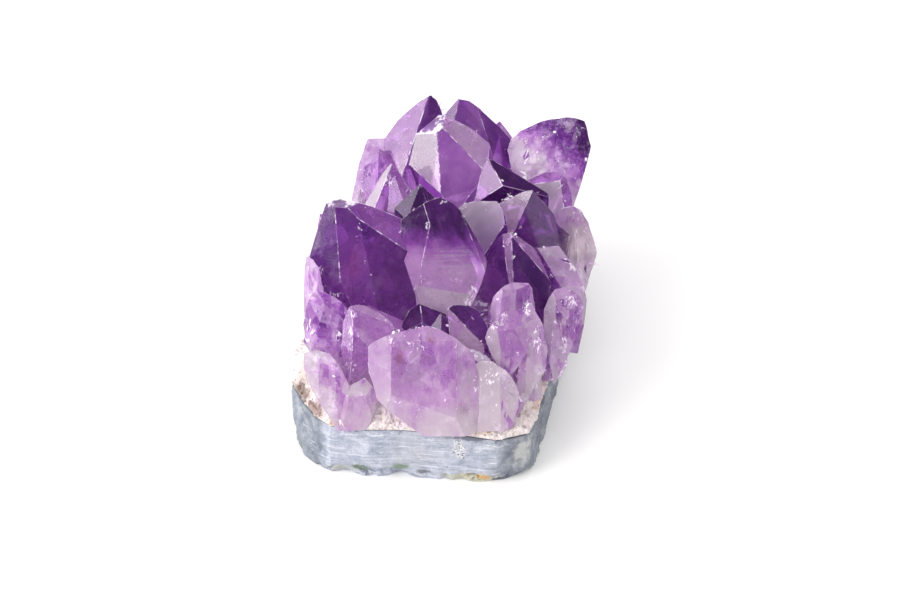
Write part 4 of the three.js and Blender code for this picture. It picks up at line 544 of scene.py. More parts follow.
     (-0.9877, -0.0080, -0.1559, -28.61, 1, 0.00),
     (-0.1884, 0.8865, 0.4226, -11.07, 1, 0.00),
     (0.0000, 0.0000, -1.0000, -12.00, 2, 0.00)],
     (0.26, 22, 0.5)),  # AA3
    ((32.7, -16.24, 39.0), (-0.071, 0.332, 0.941), [(0.3813, -0.8037, 0.4568, 44.79, 0, -0.04),
     (-0.4001, -0.8006, 0.4461, 19.34, 0, -1.00),
     (0.6483, -0.6602, 0.3793, 48.99, 0, 0.06),
     (0.2875, -0.5276, 0.7994, 49.15, 0, -0.10),
     (-0.9504, 0.2177, 0.2219, -24.42, 1, 0.00),
     (-0.8873, 0.3350, 0.3169, -21.22, 1, 0.00),
     (-0.3701, 0.6979, 0.6131, 0.21, 1, 0.00),
     (0.3865, 0.7571, 0.5267, 21.80, 1, 0.00),
     (0.6676, 0.7049, 0.2396, 22.71, 1, 0.00),
     (0.9225, 0.3318, -0.1971, 23.79, 1, 0.00),
     (0.8620, 0.1709, -0.4773, 15.94, 1, 0.00),
     (-0.9563, -0.1256, -0.2640, -33.16, 1, 0.00),
     (-0.9869, 0.0359, -0.1570, -34.60, 1, 0.00),
     (-0.1884, 0.8865, 0.4226, 2.69, 1, 0.00),
     (0.0000, 0.0000, -1.0000, -12.00, 2, 0.00)],
     (0.28, 20, 0.5)),  # AA4
    ((34.1, -21.2, 29.5), (-0.071, 0.332, 0.941), [(0.6414, -0.7306, 0.2341, 44.27, 0, 0.00),
     (0.2402, -0.9262, 0.2906, 37.55, 0, 0.05),
     (-0.9991, 0.0060, -0.0423, -30.88, 1, 0.00),
     (-0.9804, 0.1959, 0.0201, -34.70, 1, 0.00),
     (-0.9099, 0.3501, 0.2224, -31.05, 1, 0.00),
     (-0.4264, 0.7189, 0.5489, -13.86, 1, 0.00),
     (0.8820, 0.4050, -0.2410, 17.75, 1, 0.00),
     (0.8692, 0.1987, -0.4528, 18.11, 1, 0.00),
     (-0.1884, 0.8865, 0.4226, -6.67, 1, 0.00),
     (0.0000, 0.0000, -1.0000, -12.00, 2, 0.00)],
     (0.3, 30, 0.6)),  # BB
    ((3.47, -45.68, 43.26), (-0.071, 0.332, 0.941), [(0.2575, -0.8844, 0.3893, 59.17, 0, 0.00),
     (-0.3902, -0.8607, 0.3269, 58.50, 0, -0.12),
     (0.6526, -0.6734, 0.3473, 51.99, 0, -0.04),
     (0.2297, -0.7436, 0.6279, 61.93, 0, -0.08),
     (0.1814, -0.9680, 0.1734, 58.08, 0, -0.10),
     (0.0845, -0.6969, 0.7122, 63.38, 0, -0.05),
     (-0.7874, 0.4687, 0.4003, 0.51, 1, 0.00),
     (-0.3498, 0.7376, 0.5776, -9.96, 1, 0.00),
     (-0.3972, 0.7170, 0.5728, -9.17, 1, 0.00),
     (0.1284, 0.7408, 0.6594, -4.82, 1, 0.00),
     (0.3420, 0.7882, 0.5117, -11.54, 1, 0.00),
     (0.2786, 0.8266, 0.4890, -14.91, 1, 0.00),
     (0.8201, 0.5719, 0.0180, -12.13, 1, 0.00),
     (0.8603, 0.5074, -0.0480, -10.56, 1, 0.00),
     (-0.5804, -0.3765, -0.7221, 6.82, 1, 0.00),
     (-0.9205, -0.1911, -0.3409, 8.83, 1, 0.00),
     (-0.9909, 0.0158, -0.1334, 5.31, 1, 0.00),
     (-0.1884, 0.8865, 0.4226, -17.42, 1, 0.00),
     (0.0000, 0.0000, -1.0000, -12.00, 2, 0.00)],
     (0.32, 27, 0.35)),  # Y
    ((-12.61, -50.09, 27.79), (-0.071, 0.332, 0.941), [(0.2890, -0.8681, 0.4036, 52.82, 0, 0.00),
     (-0.1561, -0.8692, 0.4692, 61.14, 0, -0.05),
     (0.5549, -0.7069, 0.4385, 42.22, 0, 0.08),
     (0.2042, -0.6669, 0.7166, 50.74, 0, -0.08),
     (-0.9849, 0.1669, 0.0458, 8.86, 1, 0.00),
     (-0.7581, 0.5193, 0.3944, -5.32, 1, 0.00),
     (-0.5992, 0.6033, 0.5263, -8.60, 1, 0.00),
     (0.5732, 0.7630, 0.2988, -36.75, 1, 0.00),
     (0.7180, 0.6765, 0.1638, -37.19, 1, 0.00),
     (0.8990, 0.3023, -0.3169, -30.19, 1, 0.00),
     (0.8424, 0.1543, -0.5163, -25.67, 1, 0.00),
     (-0.8897, -0.2272, -0.3960, 20.35, 1, 0.00),
     (-0.1884, 0.8865, 0.4226, -25.23, 1, 0.00),
     (0.0000, 0.0000, -1.0000, -12.00, 2, 0.00)],
     (0.12, 16, 0.5)),  # X2
    ((-23.08, -49.35, 34.22), (-0.071, 0.332, 0.941), [(0.0213, -0.9171, 0.3980, 59.93, 0, 0.00),
     (-0.3871, -0.8491, 0.3594, 64.60, 0, -0.10),
     (0.3908, -0.8229, 0.4124, 48.39, 0, 0.05),
     (0.0089, -0.6501, 0.7598, 57.88, 0, 0.00),
     (-0.2519, 0.7759, 0.5784, -12.56, 1, 0.00),
     (0.2292, 0.7698, 0.5957, -23.26, 1, 0.00),
     (0.6732, 0.6765, 0.2987, -37.68, 1, 0.00),
     (0.6913, 0.6804, 0.2434, -39.88, 1, 0.00),
     (0.8981, 0.4239, -0.1167, -39.03, 1, 0.00),
     (-0.7716, -0.2700, -0.5760, 19.54, 1, 0.00),
     (-0.7896, -0.2445, -0.5628, 18.83, 1, 0.00),
     (-0.8983, -0.1909, -0.3958, 22.98, 1, 0.00),
     (-0.9972, -0.0291, -0.0687, 26.94, 1, 0.00),
     (-0.1884, 0.8865, 0.4226, -21.81, 1, 0.00),
     (0.0000, 0.0000, -1.0000, -12.00, 2, 0.00)],
     (0.22, 16, 0.55)),  # X1
    ((18.03, -42.55, 32.16), (-0.071, 0.332, 0.941), [(0.2232, -0.8860, 0.4064, 56.34, 0, -0.05),
     (-0.2262, -0.8936, 0.3877, 48.27, 0, -0.10),
     (0.5700, -0.7289, 0.3792, 56.21, 0, 0.05),
     (0.2366, -0.6336, 0.7366, 54.92, 0, -0.08),
     (-0.9960, 0.0363, -0.0821, -18.59, 1, 0.00),
     (-0.7076, 0.5356, 0.4609, -19.88, 1, 0.00),
     (-0.1698, 0.7166, 0.6765, -11.79, 1, 0.00),
     (0.4221, 0.7272, 0.5412, -5.04, 1, 0.00),
     (0.4288, 0.8090, 0.4019, -12.61, 1, 0.00),
     (0.7649, 0.5909, 0.2565, 1.09, 1, 0.00),
     (0.8700, 0.4776, -0.1222, -0.36, 1, 0.00),
     (0.8948, 0.1459, -0.4220, 8.95, 1, 0.00),
     (-0.9746, 0.0332, -0.2213, -21.28, 1, 0.00),
     (-0.1884, 0.8865, 0.4226, -24.07, 1, 0.00),
     (0.0000, 0.0000, -1.0000, -12.00, 2, 0.00)],
     (0.02, 13, 0.6)),  # Z1
    ((24.44, -43.0, 24.5), (-0.071, 0.332, 0.941), [(0.1193, -0.8915, 0.4370, 53.20, 0, 0.00),
     (0.5926, -0.6822, 0.4283, 55.53, 0, 0.10),
     (0.1053, -0.5806, 0.8074, 47.32, 0, 0.00),
     (-0.9047, 0.3501, 0.2428, -30.38, 1, 0.00),
     (0.0630, 0.8047, 0.5904, -18.82, 1, 0.00),
     (0.6795, 0.6932, 0.2403, -6.60, 1, 0.00),
     (0.9268, 0.2737, -0.2571, 7.95, 1, 0.00),
     (0.8602, 0.1770, -0.4782, 6.30, 1, 0.00),
     (-0.8692, -0.1858, -0.4583, -20.05, 1, 0.00),
     (-0.9840, -0.0204, -0.1768, -24.85, 1, 0.00),
     (-0.1884, 0.8865, 0.4226, -28.52, 1, 0.00),
     (0.0000, 0.0000, -1.0000, -12.00, 2, 0.00)],
     (0.28, 14, 0.4)),  # Z2
]

# Painted reflection (below 0, paler) and painted shade (above 0, darker) on faces: (crystal, face) and how much.
PAINTED_FACE_LIGHT = {

}

BREAKS = [
    (-150, -8, 1.6), (-166, 6, 1.1), (176, -18, 1.5), (150, 4, 1.6), (128, -8, 2.2),
    (97, -12, 2.0), (62, 3, 2.0), (38, -6, 2.4), (6, -10, 1.2), (-14, 6, 0.8),
    (-38, -28, 1.6), (-90, -56, 2.4), (-118, -48, 3.0), (-72, -60, 2.0), (92, -50, 3.0),
    (180, -52, 3.0), (-1, -50, 2.6), (140, -44, 3.2), (40, -46, 3.0), (-104, -2, 0.4),
]

# ---- repeatable noise on arrays of points -------------------------------------------
def _hash(ix, iy, iz, seed):
    with np.errstate(over="ignore"):
        h = (ix.astype(np.uint32) * np.uint32(374761393)
             + iy.astype(np.uint32) * np.uint32(668265263)
             + iz.astype(np.uint32) * np.uint32(2246822519)
             + np.uint32((seed * 3266489917) & 0xFFFFFFFF))
        h ^= h >> np.uint32(15)
        h *= np.uint32(2246822519)
        h ^= h >> np.uint32(13)
        h *= np.uint32(3266489917)
        h ^= h >> np.uint32(16)
    return h.astype(np.float64) / 4294967295.0


def vnoise(p, seed=0):
    """Value noise, -1 to 1."""
    i = np.floor(p).astype(np.int64)
    f = p - i
    f = f * f * f * (f * (f * 6 - 15) + 10)
    out = 0
    for dx in (0, 1):
        for dy in (0, 1):
            for dz in (0, 1):
                w = ((f[:, 0] if dx else 1 - f[:, 0]) * (f[:, 1] if dy else 1 - f[:, 1])
                     * (f[:, 2] if dz else 1 - f[:, 2]))
                out = out + w * _hash(i[:, 0] + dx, i[:, 1] + dy, i[:, 2] + dz, seed)
    return out * 2 - 1


def fbm(p, octaves=4, seed=0, gain=0.5):
    total, amp, norm = 0, 1.0, 0.0
    for o in range(octaves):
        total = total + amp * vnoise(p * 2.03 ** o, seed + 17 * o)
        norm += amp
        amp *= gain
    return total / norm


def cells(p, seed=0):
    """Distance to the nearest and the second nearest scattered point, and the nearest one's own number."""
    i = np.floor(p).astype(np.int64)
    d1 = np.full(len(p), 9.0)
    d2 = np.full(len(p), 9.0)
    who = np.zeros(len(p))
    for dx in (-1, 0, 1):
        for dy in (-1, 0, 1):
            for dz in (-1, 0, 1):
                c = i + (dx, dy, dz)
                q = np.stack([_hash(c[:, 0], c[:, 1], c[:, 2], seed + k) for k in (1, 2, 3)], 1) + c
                d = np.linalg.norm(p - q, axis=1)
                near = d < d1
                d2 = np.where(near, d1, np.minimum(d2, d))
                who = np.where(near, _hash(c[:, 0], c[:, 1], c[:, 2], seed + 9), who)
                d1 = np.where(near, d, d1)
    return d1, d2, who


def smooth(x, a, b):
    t = np.clip((x - a) / (b - a), 0, 1)
    return t * t * (3 - 2 * t)


def ripple(t, s):
    return 0.5 * np.sin(t * 3.1 + s) + 0.33 * np.sin(t * 7.3 + 2.1 * s) + 0.25 * np.sin(t * 13.7 + 0.7 * s)


def rock_top(x, y):
    return (ROCK_TOP - ROCK_TOP_DROP * smooth(x, 8, 26) * (1 - smooth(y, -40, 0))
            + 0.35 * np.sin(x * 0.21 + 1) * np.sin(y * 0.17))


def ring(n):
    """The slab's outline as n points with their inward directions and place along it."""
    pts = np.array(OUTLINE) - CENTRE
    closed = np.vstack([pts, pts[:1]])
    seg = np.linalg.norm(np.diff(closed, axis=0), axis=1)
    lens = np.concatenate([[0], np.cumsum(seg)])
    s = np.arange(n) / n * lens[-1]
    x = np.interp(s, lens, closed[:, 0])
    y = np.interp(s, lens, closed[:, 1])
    p = np.stack([x, y], 1)
    k = max(2, int(round(n / 54)))
    t = np.roll(p, -k, 0) - np.roll(p, k, 0)
    t /= np.linalg.norm(t, axis=1)[:, None]
    return p, np.stack([-t[:, 1], t[:, 0]], 1), s / lens[-1] * 2 * math.pi


def mesh_object(name, verts_mm, faces):
    me = bpy.data.meshes.new(name)
    me.from_pydata((np.asarray(verts_mm) * MM).tolist(), [], faces)
    me.update()
    ob = bpy.data.objects.new(name, me)
    bpy.context.scene.collection.objects.link(ob)
    return ob


def stack_grid(rings, n):
    """Faces of a body through stacked rings of n points, both ends closed to a middle point."""
    faces = []
    for l in range(rings - 1):
        a = l * n
        for k in range(n):
            k1 = (k + 1) % n
            faces.append((a + k, a + k1, a + n + k1, a + n + k))
    lo, hi, top = rings * n, rings * n + 1, (rings - 1) * n
    for k in range(n):
        k1 = (k + 1) % n
        faces.append((lo, k1, k))
        faces.append((hi, top + k, top + k1))
    return faces


# ---- node helpers -----------------------------------------------------------------
class Graph:
    def __init__(self, name):
        self.mat = bpy.data.materials.new(name)
        self.mat.use_nodes = True
        self.nt = self.mat.node_tree
        self.nt.nodes.clear()
        self.noises = {}
        self.out = self.nt.nodes.new("ShaderNodeOutputMaterial")
        self.bsdf = self.nt.nodes.new("ShaderNodeBsdfPrincipled")
        self.nt.links.new(self.bsdf.outputs[0], self.out.inputs["Surface"])

    def put(self, socket, value):
        if isinstance(value, bpy.types.NodeSocket):
            self.nt.links.new(value, socket)
        else:
            if hasattr(socket.default_value, "__len__") and not hasattr(value, "__len__"):
                value = (value,) * len(socket.default_value)
            elif hasattr(value, "__len__") and len(value) == 3 and len(socket.default_value) == 4:
                value = (*value, 1)
            socket.default_value = value

    def node(self, kind, props=None, **inputs):
        n = self.nt.nodes.new("ShaderNode" + kind)
        for k, v in (props or {}).items():
            setattr(n, k, v)
        for k, v in inputs.items():
            key = int(k[1:]) if k[0] == "i" and k[1:].isdigit() else k.replace("_", " ")
            self.put(n.inputs[key], v)
        return n

    def set(self, **inputs):
        for k, v in inputs.items():
            self.put(self.bsdf.inputs[k.replace("_", " ")], v)

    def attr(self, name):
        n = self.node("Attribute", {"attribute_name": name})
        return n

    def split(self, colour):
        n = self.node("SeparateColor")
        self.nt.links.new(colour, n.inputs[0])
        return n.outputs[0], n.outputs[1], n.outputs[2]

    def pos(self):
        return self.node("TexCoord").outputs["Object"]

    def scale(self, vec, s):
        n = self.node("VectorMath", {"operation": "MULTIPLY"})
        self.put(n.inputs[0], vec)
        self.put(n.inputs[1], s)
        return n.outputs[0]

    def vadd(self, a, b):
        n = self.node("VectorMath", {"operation": "ADD"})
        self.put(n.inputs[0], a)
        self.put(n.inputs[1], b)
        return n.outputs[0]

    def math(self, op, a, b=0.0, c=0.0, clamp=False):
        n = self.node("Math", {"operation": op, "use_clamp": clamp})
        self.put(n.inputs[0], a)
        self.put(n.inputs[1], b)
        self.put(n.inputs[2], c)
        return n.outputs[0]

    def map(self, v, a, b, c=0.0, d=1.0, smooth=False):
        n = self.node("MapRange", {"interpolation_type": "SMOOTHSTEP" if smooth else "LINEAR", "clamp": True})
        for k, x in zip((0, 1, 2, 3, 4), (v, a, b, c, d)):
            self.put(n.inputs[k], x)
        return n.outputs[0]

    def noise(self, vec, scale, detail=3.0, rough=0.55, distortion=0.0, colour=False):
        # the same noise asked for twice is made once
        key = (vec.node.name, vec.identifier, scale, detail, rough, distortion)
        n = self.noises.get(key)
        if n is None:
            n = self.node("TexNoise", {"noise_dimensions": "3D"}, Vector=vec, Scale=scale, Detail=detail,
                          Roughness=rough, Distortion=distortion)
            self.noises[key] = n
        return n.outputs[1 if colour else 0]

    def voronoi(self, vec, scale, feature="F1", out=0, rnd=1.0):
        n = self.node("TexVoronoi", {"feature": feature}, Vector=vec, Scale=scale, Randomness=rnd)
        return n.outputs[out]

    def mix(self, f, a, b, blend="MIX"):
        n = self.node("Mix", {"data_type": "RGBA", "blend_type": blend, "clamp_factor": True})
        self.put(n.inputs[0], f)
        self.put(n.inputs[6], a)
        self.put(n.inputs[7], b)
        return n.outputs[2]

    def lerp(self, f, a, b):
        n = self.node("Mix", {"data_type": "FLOAT", "clamp_factor": True})
        self.put(n.inputs[0], f)
        self.put(n.inputs[2], a)
        self.put(n.inputs[3], b)
        return n.outputs[0]

    def ramp(self, f, stops):
        n = self.node("ValToRGB")
        self.put(n.inputs[0], f)
        el = n.color_ramp.elements
        while len(el) > 1:
            el.remove(el[-1])
        el[0].position, el[0].color = stops[0][0], (*stops[0][1], 1)
        for p, c in stops[1:]:
            e = el.new(p)
            e.color = (*c, 1)
        return n.outputs[0]

    def bump(self, height, distance, strength=1.0, normal=None):
        n = self.node("Bump", Height=height, Distance=distance, Strength=strength)
        if normal is not None:
            self.nt.links.new(normal, n.inputs["Normal"])
        return n.outputs[0]


def spot(g, pos, at, size, wobble=0.5, scale=260.0, edge=0.5, ragged=None):
    """1 inside a ragged patch centred at a place in mm, 0 outside; size is its half extent in mm."""
    v = g.vadd(pos, tuple(-c * MM for c in at))
    v = g.scale(v, tuple(1000.0 / s for s in size))
    n = g.node("VectorMath", {"operation": "LENGTH"})
    g.put(n.inputs[0], v)
    if ragged is None:
        ragged = g.noise(pos, scale, 4, 0.65)
    d = g.math("ADD", n.outputs["Value"], g.math("MULTIPLY", g.math("SUBTRACT", ragged, 0.5), wobble * 2.6))
    return g.map(d, 1.0 - edge, 1.0 + edge * 0.4, 1.0, 0.0, smooth=True)


def srgb(r, g, b):
    """A colour read off a screen, 0 to 255, as linear light."""
    return tuple(c / 255 / 12.92 if c / 255 <= 0.04045 else ((c / 255 + 0.055) / 1.055) ** 2.4 for c in (r, g, b))


# ---- camera, light and floor ------------------------------------------------------
scene = bpy.context.scene
cam_data = bpy.data.cameras.new("camera")
cam_data.lens = 80
cam_data.sensor_width = 36
cam_data.sensor_fit = "HORIZONTAL"
cam_data.clip_start = 0.01
cam = bpy.data.objects.new("camera", cam_data)
scene.collection.objects.link(cam)
right = Vector((0.97815, 0.20791, 0.0))
up = Vector((-0.12221, 0.57494, 0.80902))
forward = Vector((-0.16820, 0.79134, -0.58779))
cam.matrix_world = Matrix((
    (right.x, up.x, -forward.x, 0.092556),
    (right.y, up.y, -forward.y, -0.437122),
    (right.z, up.z, -forward.z, 0.3428),
    (0, 0, 0, 1)))
scene.camera = cam
scene.view_settings.view_transform = "Standard"
scene.view_settings.look = "None"


def area(name, az, el, dist, width, height, radiance, colour=(1, 1, 1), aim=(0, 0, 0.03)):
    """A soft box that faces the piece. Azimuth 0 is +Y, 90 is +X."""
    data = bpy.data.lights.new(name, "AREA")
    data.shape = "RECTANGLE"
    data.size, data.size_y = width, height
    data.energy = radiance * math.pi * width * height
    data.color = colour
    ob = bpy.data.objects.new(name, data)
    a, e = math.radians(az), math.radians(el)
    d = Vector((math.sin(a) * math.cos(e), math.cos(a) * math.cos(e), math.sin(e)))
    ob.location = Vector(aim) + d * dist
    ob.rotation_euler = d.to_track_quat("Z", "Y").to_euler()
    scene.collection.objects.link(ob)
    return ob


area("window", -124, 29, 1.2, 1.22, 0.92, 4.8, (1.0, 0.985, 0.965))
area("low_window", -77, 10, 1.2, 0.87, 0.38, 2.8, (1.0, 0.985, 0.965), aim=(0, 0, 0.04))
top = area("overhead", 20, 84, 1.4, 1.3, 1.3, 1.1, (1.0, 1.0, 1.0))
top.visible_glossy = False
area("back", -14, 34, 1.4, 1.6, 1.2, 0.8, (1.0, 1.0, 1.0))
for az_, el_, power in ((112, 48, 1.45), (165, 28, 0.85), (-70, 62, 0.6), (20, 40, 0.9)):
    fill = area("fill", az_, el_, 1.3, 1.3, 1.0, power, (1.0, 0.99, 0.98))
    fill.visible_glossy = False
world = bpy.data.worlds.new("studio")
scene.world = world
world.use_nodes = True
world.node_tree.nodes["Background"].inputs[0].default_value = (0.98, 0.985, 1.0, 1)
world.node_tree.nodes["Background"].inputs[1].default_value = 0.20

bm = bmesh.new()
bmesh.ops.create_grid(bm, x_segments=2, y_segments=2, size=4.0)
me = bpy.data.meshes.new("floor")
bm.to_mesh(me)
bm.free()
floor = bpy.data.objects.new("floor", me)
scene.collection.objects.link(floor)
g = Graph("floor_paper")
g.set(Base_Color=(0.93, 0.925, 0.92), Roughness=0.9)
floor.data.materials.append(g.mat)

# ---- crystals -----------------------------------------------------------------------
rng = np.random.default_rng(4127)


def crystal_frame(row):
    tip, axis, side = (np.array(v, float) for v in row[:3])
    tip[:2] -= CENTRE
    axis /= np.linalg.norm(axis)
    side -= axis * side.dot(axis)
    side /= np.linalg.norm(side)
    other = np.cross(axis, side)
    return tip, axis, side, other


def crystal_planes(row):
    """Rows of (normal, distance, kind): kind 0 is an end face, 1 a prism face, 2 the root."""
    tip, axis, side, other = crystal_frame(row)

    def direction(az, pol):
        a, p = math.radians(az), math.radians(pol)
        return side * math.sin(p) * math.cos(a) + other * math.sin(p) * math.sin(a) + axis * math.cos(p)

    planes = []
    for az, pol, off in row[3]:
        n = direction(az, pol)
        planes.append((n, n.dot(tip) - off, 0))
    for az, pol, r in row[4]:
        n = direction(az, pol)
        planes.append((n, n.dot(tip) + r, 1))
    n = -axis
    planes.append((n, n.dot(tip) + (tip[2] - 13) / axis[2] + 4, 2))
    return planes


def convex(planes):
    """Corners and ordered face loops of the body bounded by the planes."""
    normals = np.array([p[0] for p in planes])
    dist = np.array([p[1] for p in planes])
    pts, on = [], []
    m = len(planes)
    for i in range(m):
        for j in range(i + 1, m):
            for k in range(j + 1, m):
                a = normals[[i, j, k]]
                det = np.linalg.det(a)
                if abs(det) < 1e-4:
                    continue
                p = np.linalg.solve(a, dist[[i, j, k]])
                if (normals @ p - dist).max() > 1e-4:
                    continue
                for q, s in zip(pts, on):
                    if np.linalg.norm(q - p) < 0.02:
                        s.update((i, j, k))
                        break
                else:
                    pts.append(p)
                    on.append({i, j, k})
    pts = np.array(pts)
    loops = []
    for f in range(m):
        idx = [v for v, s in enumerate(on) if f in s]
        if len(idx) < 3:
            continue
        c = pts[idx].mean(0)
        n = normals[f]
        u = pts[idx[0]] - c
        u -= n * u.dot(n)
        u /= np.linalg.norm(u)
        w = np.cross(n, u)
        ang = [math.atan2((pts[v] - c).dot(w), (pts[v] - c).dot(u)) for v in idx]
        loops.append(([v for _, v in sorted(zip(ang, idx))], f))
    return pts, loops


def solid_object(name, pts, loops):
    bm = bmesh.new()
    vs = [bm.verts.new(p * MM) for p in pts]
    for loop, _ in loops:
        try:
            bm.faces.new([vs[v] for v in loop])
        except ValueError:
            pass
    bmesh.ops.recalc_face_normals(bm, faces=bm.faces)
    return bm


def finish_bm(name, bm):
    bmesh.ops.triangulate(bm, faces=bm.faces)
    me = bpy.data.meshes.new(name)
    bm.to_mesh(me)
    bm.free()
    ob = bpy.data.objects.new(name, me)
    scene.collection.objects.link(ob)
    return ob


def evaluated(ob, name):
    """The object's mesh with its modifiers applied, in a new object; the old one goes."""
    bpy.context.view_layer.update()
    dg = bpy.context.evaluated_depsgraph_get()
    me = bpy.data.meshes.new_from_object(ob.evaluated_get(dg))
    bpy.data.objects.remove(ob)
    new = bpy.data.objects.new(name, me)
    scene.collection.objects.link(new)
    return new


def boolean(ob, others, how):
    for o in others:
        mod = ob.modifiers.new("b", "BOOLEAN")
        mod.operation = how
        mod.solver = "MANIFOLD"
        mod.object = o
    out = evaluated(ob, ob.name)
    for o in others:
        bpy.data.objects.remove(o)
    return out


def shard(centre, size, r):
    """A small irregular convex lump, mm."""
    pts = r.normal(size=(14, 3))
    pts /= np.linalg.norm(pts, axis=1)[:, None]
    pts *= size * r.uniform(0.75, 1.1, size=(14, 1))
    return pts + centre


def chips_for(pts, loops, planes, r, rate, sizes):
    """Convex lumps that bite small chips out of a crystal's edges."""
    edges = {}
    for loop, f in loops:
        for a, b in zip(loop, loop[1:] + loop[:1]):
            edges.setdefault(frozenset((a, b)), []).append(f)
    lumps, placed = [], []
    for key, fs in edges.items():
        if len(key) != 2 or len(fs) != 2 or any(planes[f][2] == 2 for f in fs):
            continue
        a, b = (pts[v] for v in sorted(key))
        length = np.linalg.norm(b - a)
        out = planes[fs[0]][0] + planes[fs[1]][0]
        out = out / np.linalg.norm(out)
        s = r.exponential(rate)
        while s < length - 0.4:
            c = a + (b - a) * s / length
            size = min(sizes[1], sizes[0] * (1 + r.exponential(0.7)))
            if c[2] > 21 and s > size * 1.3 and length - s > size * 1.3 and all(
                    np.linalg.norm(c - q) > 1.25 * (size + z) for q, z in placed):
                placed.append((c, size))
                lumps.append(shard(c + out * size * r.uniform(0.35, 0.75), size, r))
            s += r.exponential(rate) + size
    return lumps


def lumps_object(lumps):
    bm = bmesh.new()
    for pts in lumps:
        vs = [bm.verts.new(p * MM) for p in pts]
        bmesh.ops.convex_hull(bm, input=vs)
    loose = [v for v in bm.verts if not v.link_faces]
    bmesh.ops.delete(bm, geom=loose, context="VERTS")
    bmesh.ops.recalc_face_normals(bm, faces=bm.faces)
    return finish_bm("lumps", bm)


def shoulders(planes, tip, axis, r):
    """Extra narrow faces where some end faces turn into prism faces, as growth leaves them."""
    extra = []
    ends = [p for p in planes if p[2] == 0]
    sides = [p for p in planes if p[2] == 1]
    pts, loops = convex(planes)
    for e in ends:
        for q in sides:
            shared = [v for v in pts if abs(e[0].dot(v) - e[1]) < 1e-3 and abs(q[0].dot(v) - q[1]) < 1e-3]
            if len(shared) < 2 or r.uniform() > 0.75:
                continue
            width = r.uniform(0.35, 1.3)
            for f in ((0.34, 0.66) if r.uniform() < 0.5 else (0.5,)):
                n = e[0] * (1 - f) + q[0] * f + r.normal(size=3) * 0.02
                n /= np.linalg.norm(n)
                d = max(n.dot(v) for v in shared) - width * (0.16 if f == 0.5 else 0.14)
                extra.append((n, d, 1))
    return extra


def split_long(v, f, limit):
    """Splits every triangle edge longer than the limit at its middle, keeping the surface closed."""
    e = np.sort(np.vstack([f[:, [0, 1]], f[:, [1, 2]], f[:, [2, 0]]]), axis=1)
    uniq, inv = np.unique(e, axis=0, return_inverse=True)
    inv = inv.reshape(3, -1).T
    length = np.linalg.norm(v[uniq[:, 0]] - v[uniq[:, 1]], axis=1)
    cut = length > limit
    mid = np.full(len(uniq), -1)
    mid[cut] = len(v) + np.arange(cut.sum())
    v = np.vstack([v, (v[uniq[cut, 0]] + v[uniq[cut, 1]]) / 2])
    m = mid[inv]
    out = []
    for (a, b, c), (ab, bc, ca) in zip(f.tolist(), m.tolist()):
        k = (ab >= 0) + (bc >= 0) + (ca >= 0)
        if k == 0:
            out.append((a, b, c))
        elif k == 3:
            out += [(a, ab, ca), (ab, b, bc), (ca, bc, c), (ab, bc, ca)]
        elif k == 1:
            while ab < 0:
                a, b, c, ab, bc, ca = b, c, a, bc, ca, ab
            out += [(a, ab, c), (ab, b, c)]
        else:
            while ca >= 0:
                a, b, c, ab, bc, ca = b, c, a, bc, ca, ab
            out += [(ab, b, bc), (a, ab, bc), (a, bc, c)]
    return v, np.array(out)


def uneven(ob, amount, seed):
    """Splits the faces finely and lets them wander, as the low, rubbed crystals do."""
    me = ob.data
    v = np.zeros(len(me.vertices) * 3)
    me.vertices.foreach_get("co", v)
    v = v.reshape(-1, 3) / MM
    me.calc_loop_triangles()
    f = np.zeros(len(me.loop_triangles) * 3, int)
    me.loop_triangles.foreach_get("vertices", f)
    f = f.reshape(-1, 3)
    for limit in (6.0, 3.2, 1.7):
        v, f = split_long(v, f, limit)
    fn = np.cross(v[f[:, 1]] - v[f[:, 0]], v[f[:, 2]] - v[f[:, 0]])
    n = np.zeros_like(v)
    for k in range(3):
        np.add.at(n, f[:, k], fn)
    n /= np.maximum(np.linalg.norm(n, axis=1), 1e-9)[:, None]
    d = amount * fbm(v / 3.6, 2, 300 + seed) + 0.16 * amount * fbm(v / 1.1, 2, 340 + seed)
    # shallow scooped breaks
    d1, d2, who = cells(v / 3.2, 360 + seed)
    d = d - amount * 0.55 * smooth(who, 0.6, 1.0) * smooth(d2 - d1, 0.0, 0.5)
    v = v + n * d[:, None]
    name = ob.name
    bpy.data.objects.remove(ob)
    return mesh_object(name, v, f.tolist())


all_planes = []   # (crystal number, normal, distance, kind, shade)
tips_axes = []    # (point, axis, look) of every crystal
parts = []
rows = [("grown", row) for row in CRYSTALS] + [("solid", row) for row in SOLIDS]
for ci, (form, row) in enumerate(rows):
    r = np.random.default_rng(900 + ci)
    if form == "grown":
        planes = crystal_planes(row)
        tip, axis = crystal_frame(row)[:2]
        look = row[5]
        planes = planes + shoulders(planes, tip, axis, r)
    else:
        tip, axis, look = np.array(row[0]), np.array(row[1]), row[3]
        axis = axis / np.linalg.norm(axis)
        planes = [(np.array(q[:3]) / np.linalg.norm(q[:3]), q[3], q[4], q[5]) for q in row[2]]
    tips_axes.append((tip, axis, look))
    # a sixth plane value, where given, is painted reflection and painted shade for that face
    for fi, (n, d, kind, *shade) in enumerate(planes):
        all_planes.append((ci, n, d, kind, shade[0] if shade else PAINTED_FACE_LIGHT.get((ci, fi), 0.0)))
    pts, loops = convex(planes)
    bm = solid_object("crystal", pts, loops)
    bmesh.ops.bevel(bm, geom=list(bm.edges), offset=r.uniform(0.08, 0.15) * MM, segments=1, affect="EDGES",
                    profile=0.5, clamp_overlap=True)
    ob = finish_bm("crystal_%d" % ci, bm)
    cloudy = look[2]
    lumps = chips_for(pts, loops, planes, r, 5.5 if cloudy < 0.3 else 3.4, (0.2, 0.7))
    if lumps:
        ob = boolean(ob, [lumps_object(lumps)], "DIFFERENCE")
    if cloudy >= 0.3:
        ob = uneven(ob, 0.28 if cloudy > 0.45 else 0.20, ci)
    parts.append(ob)

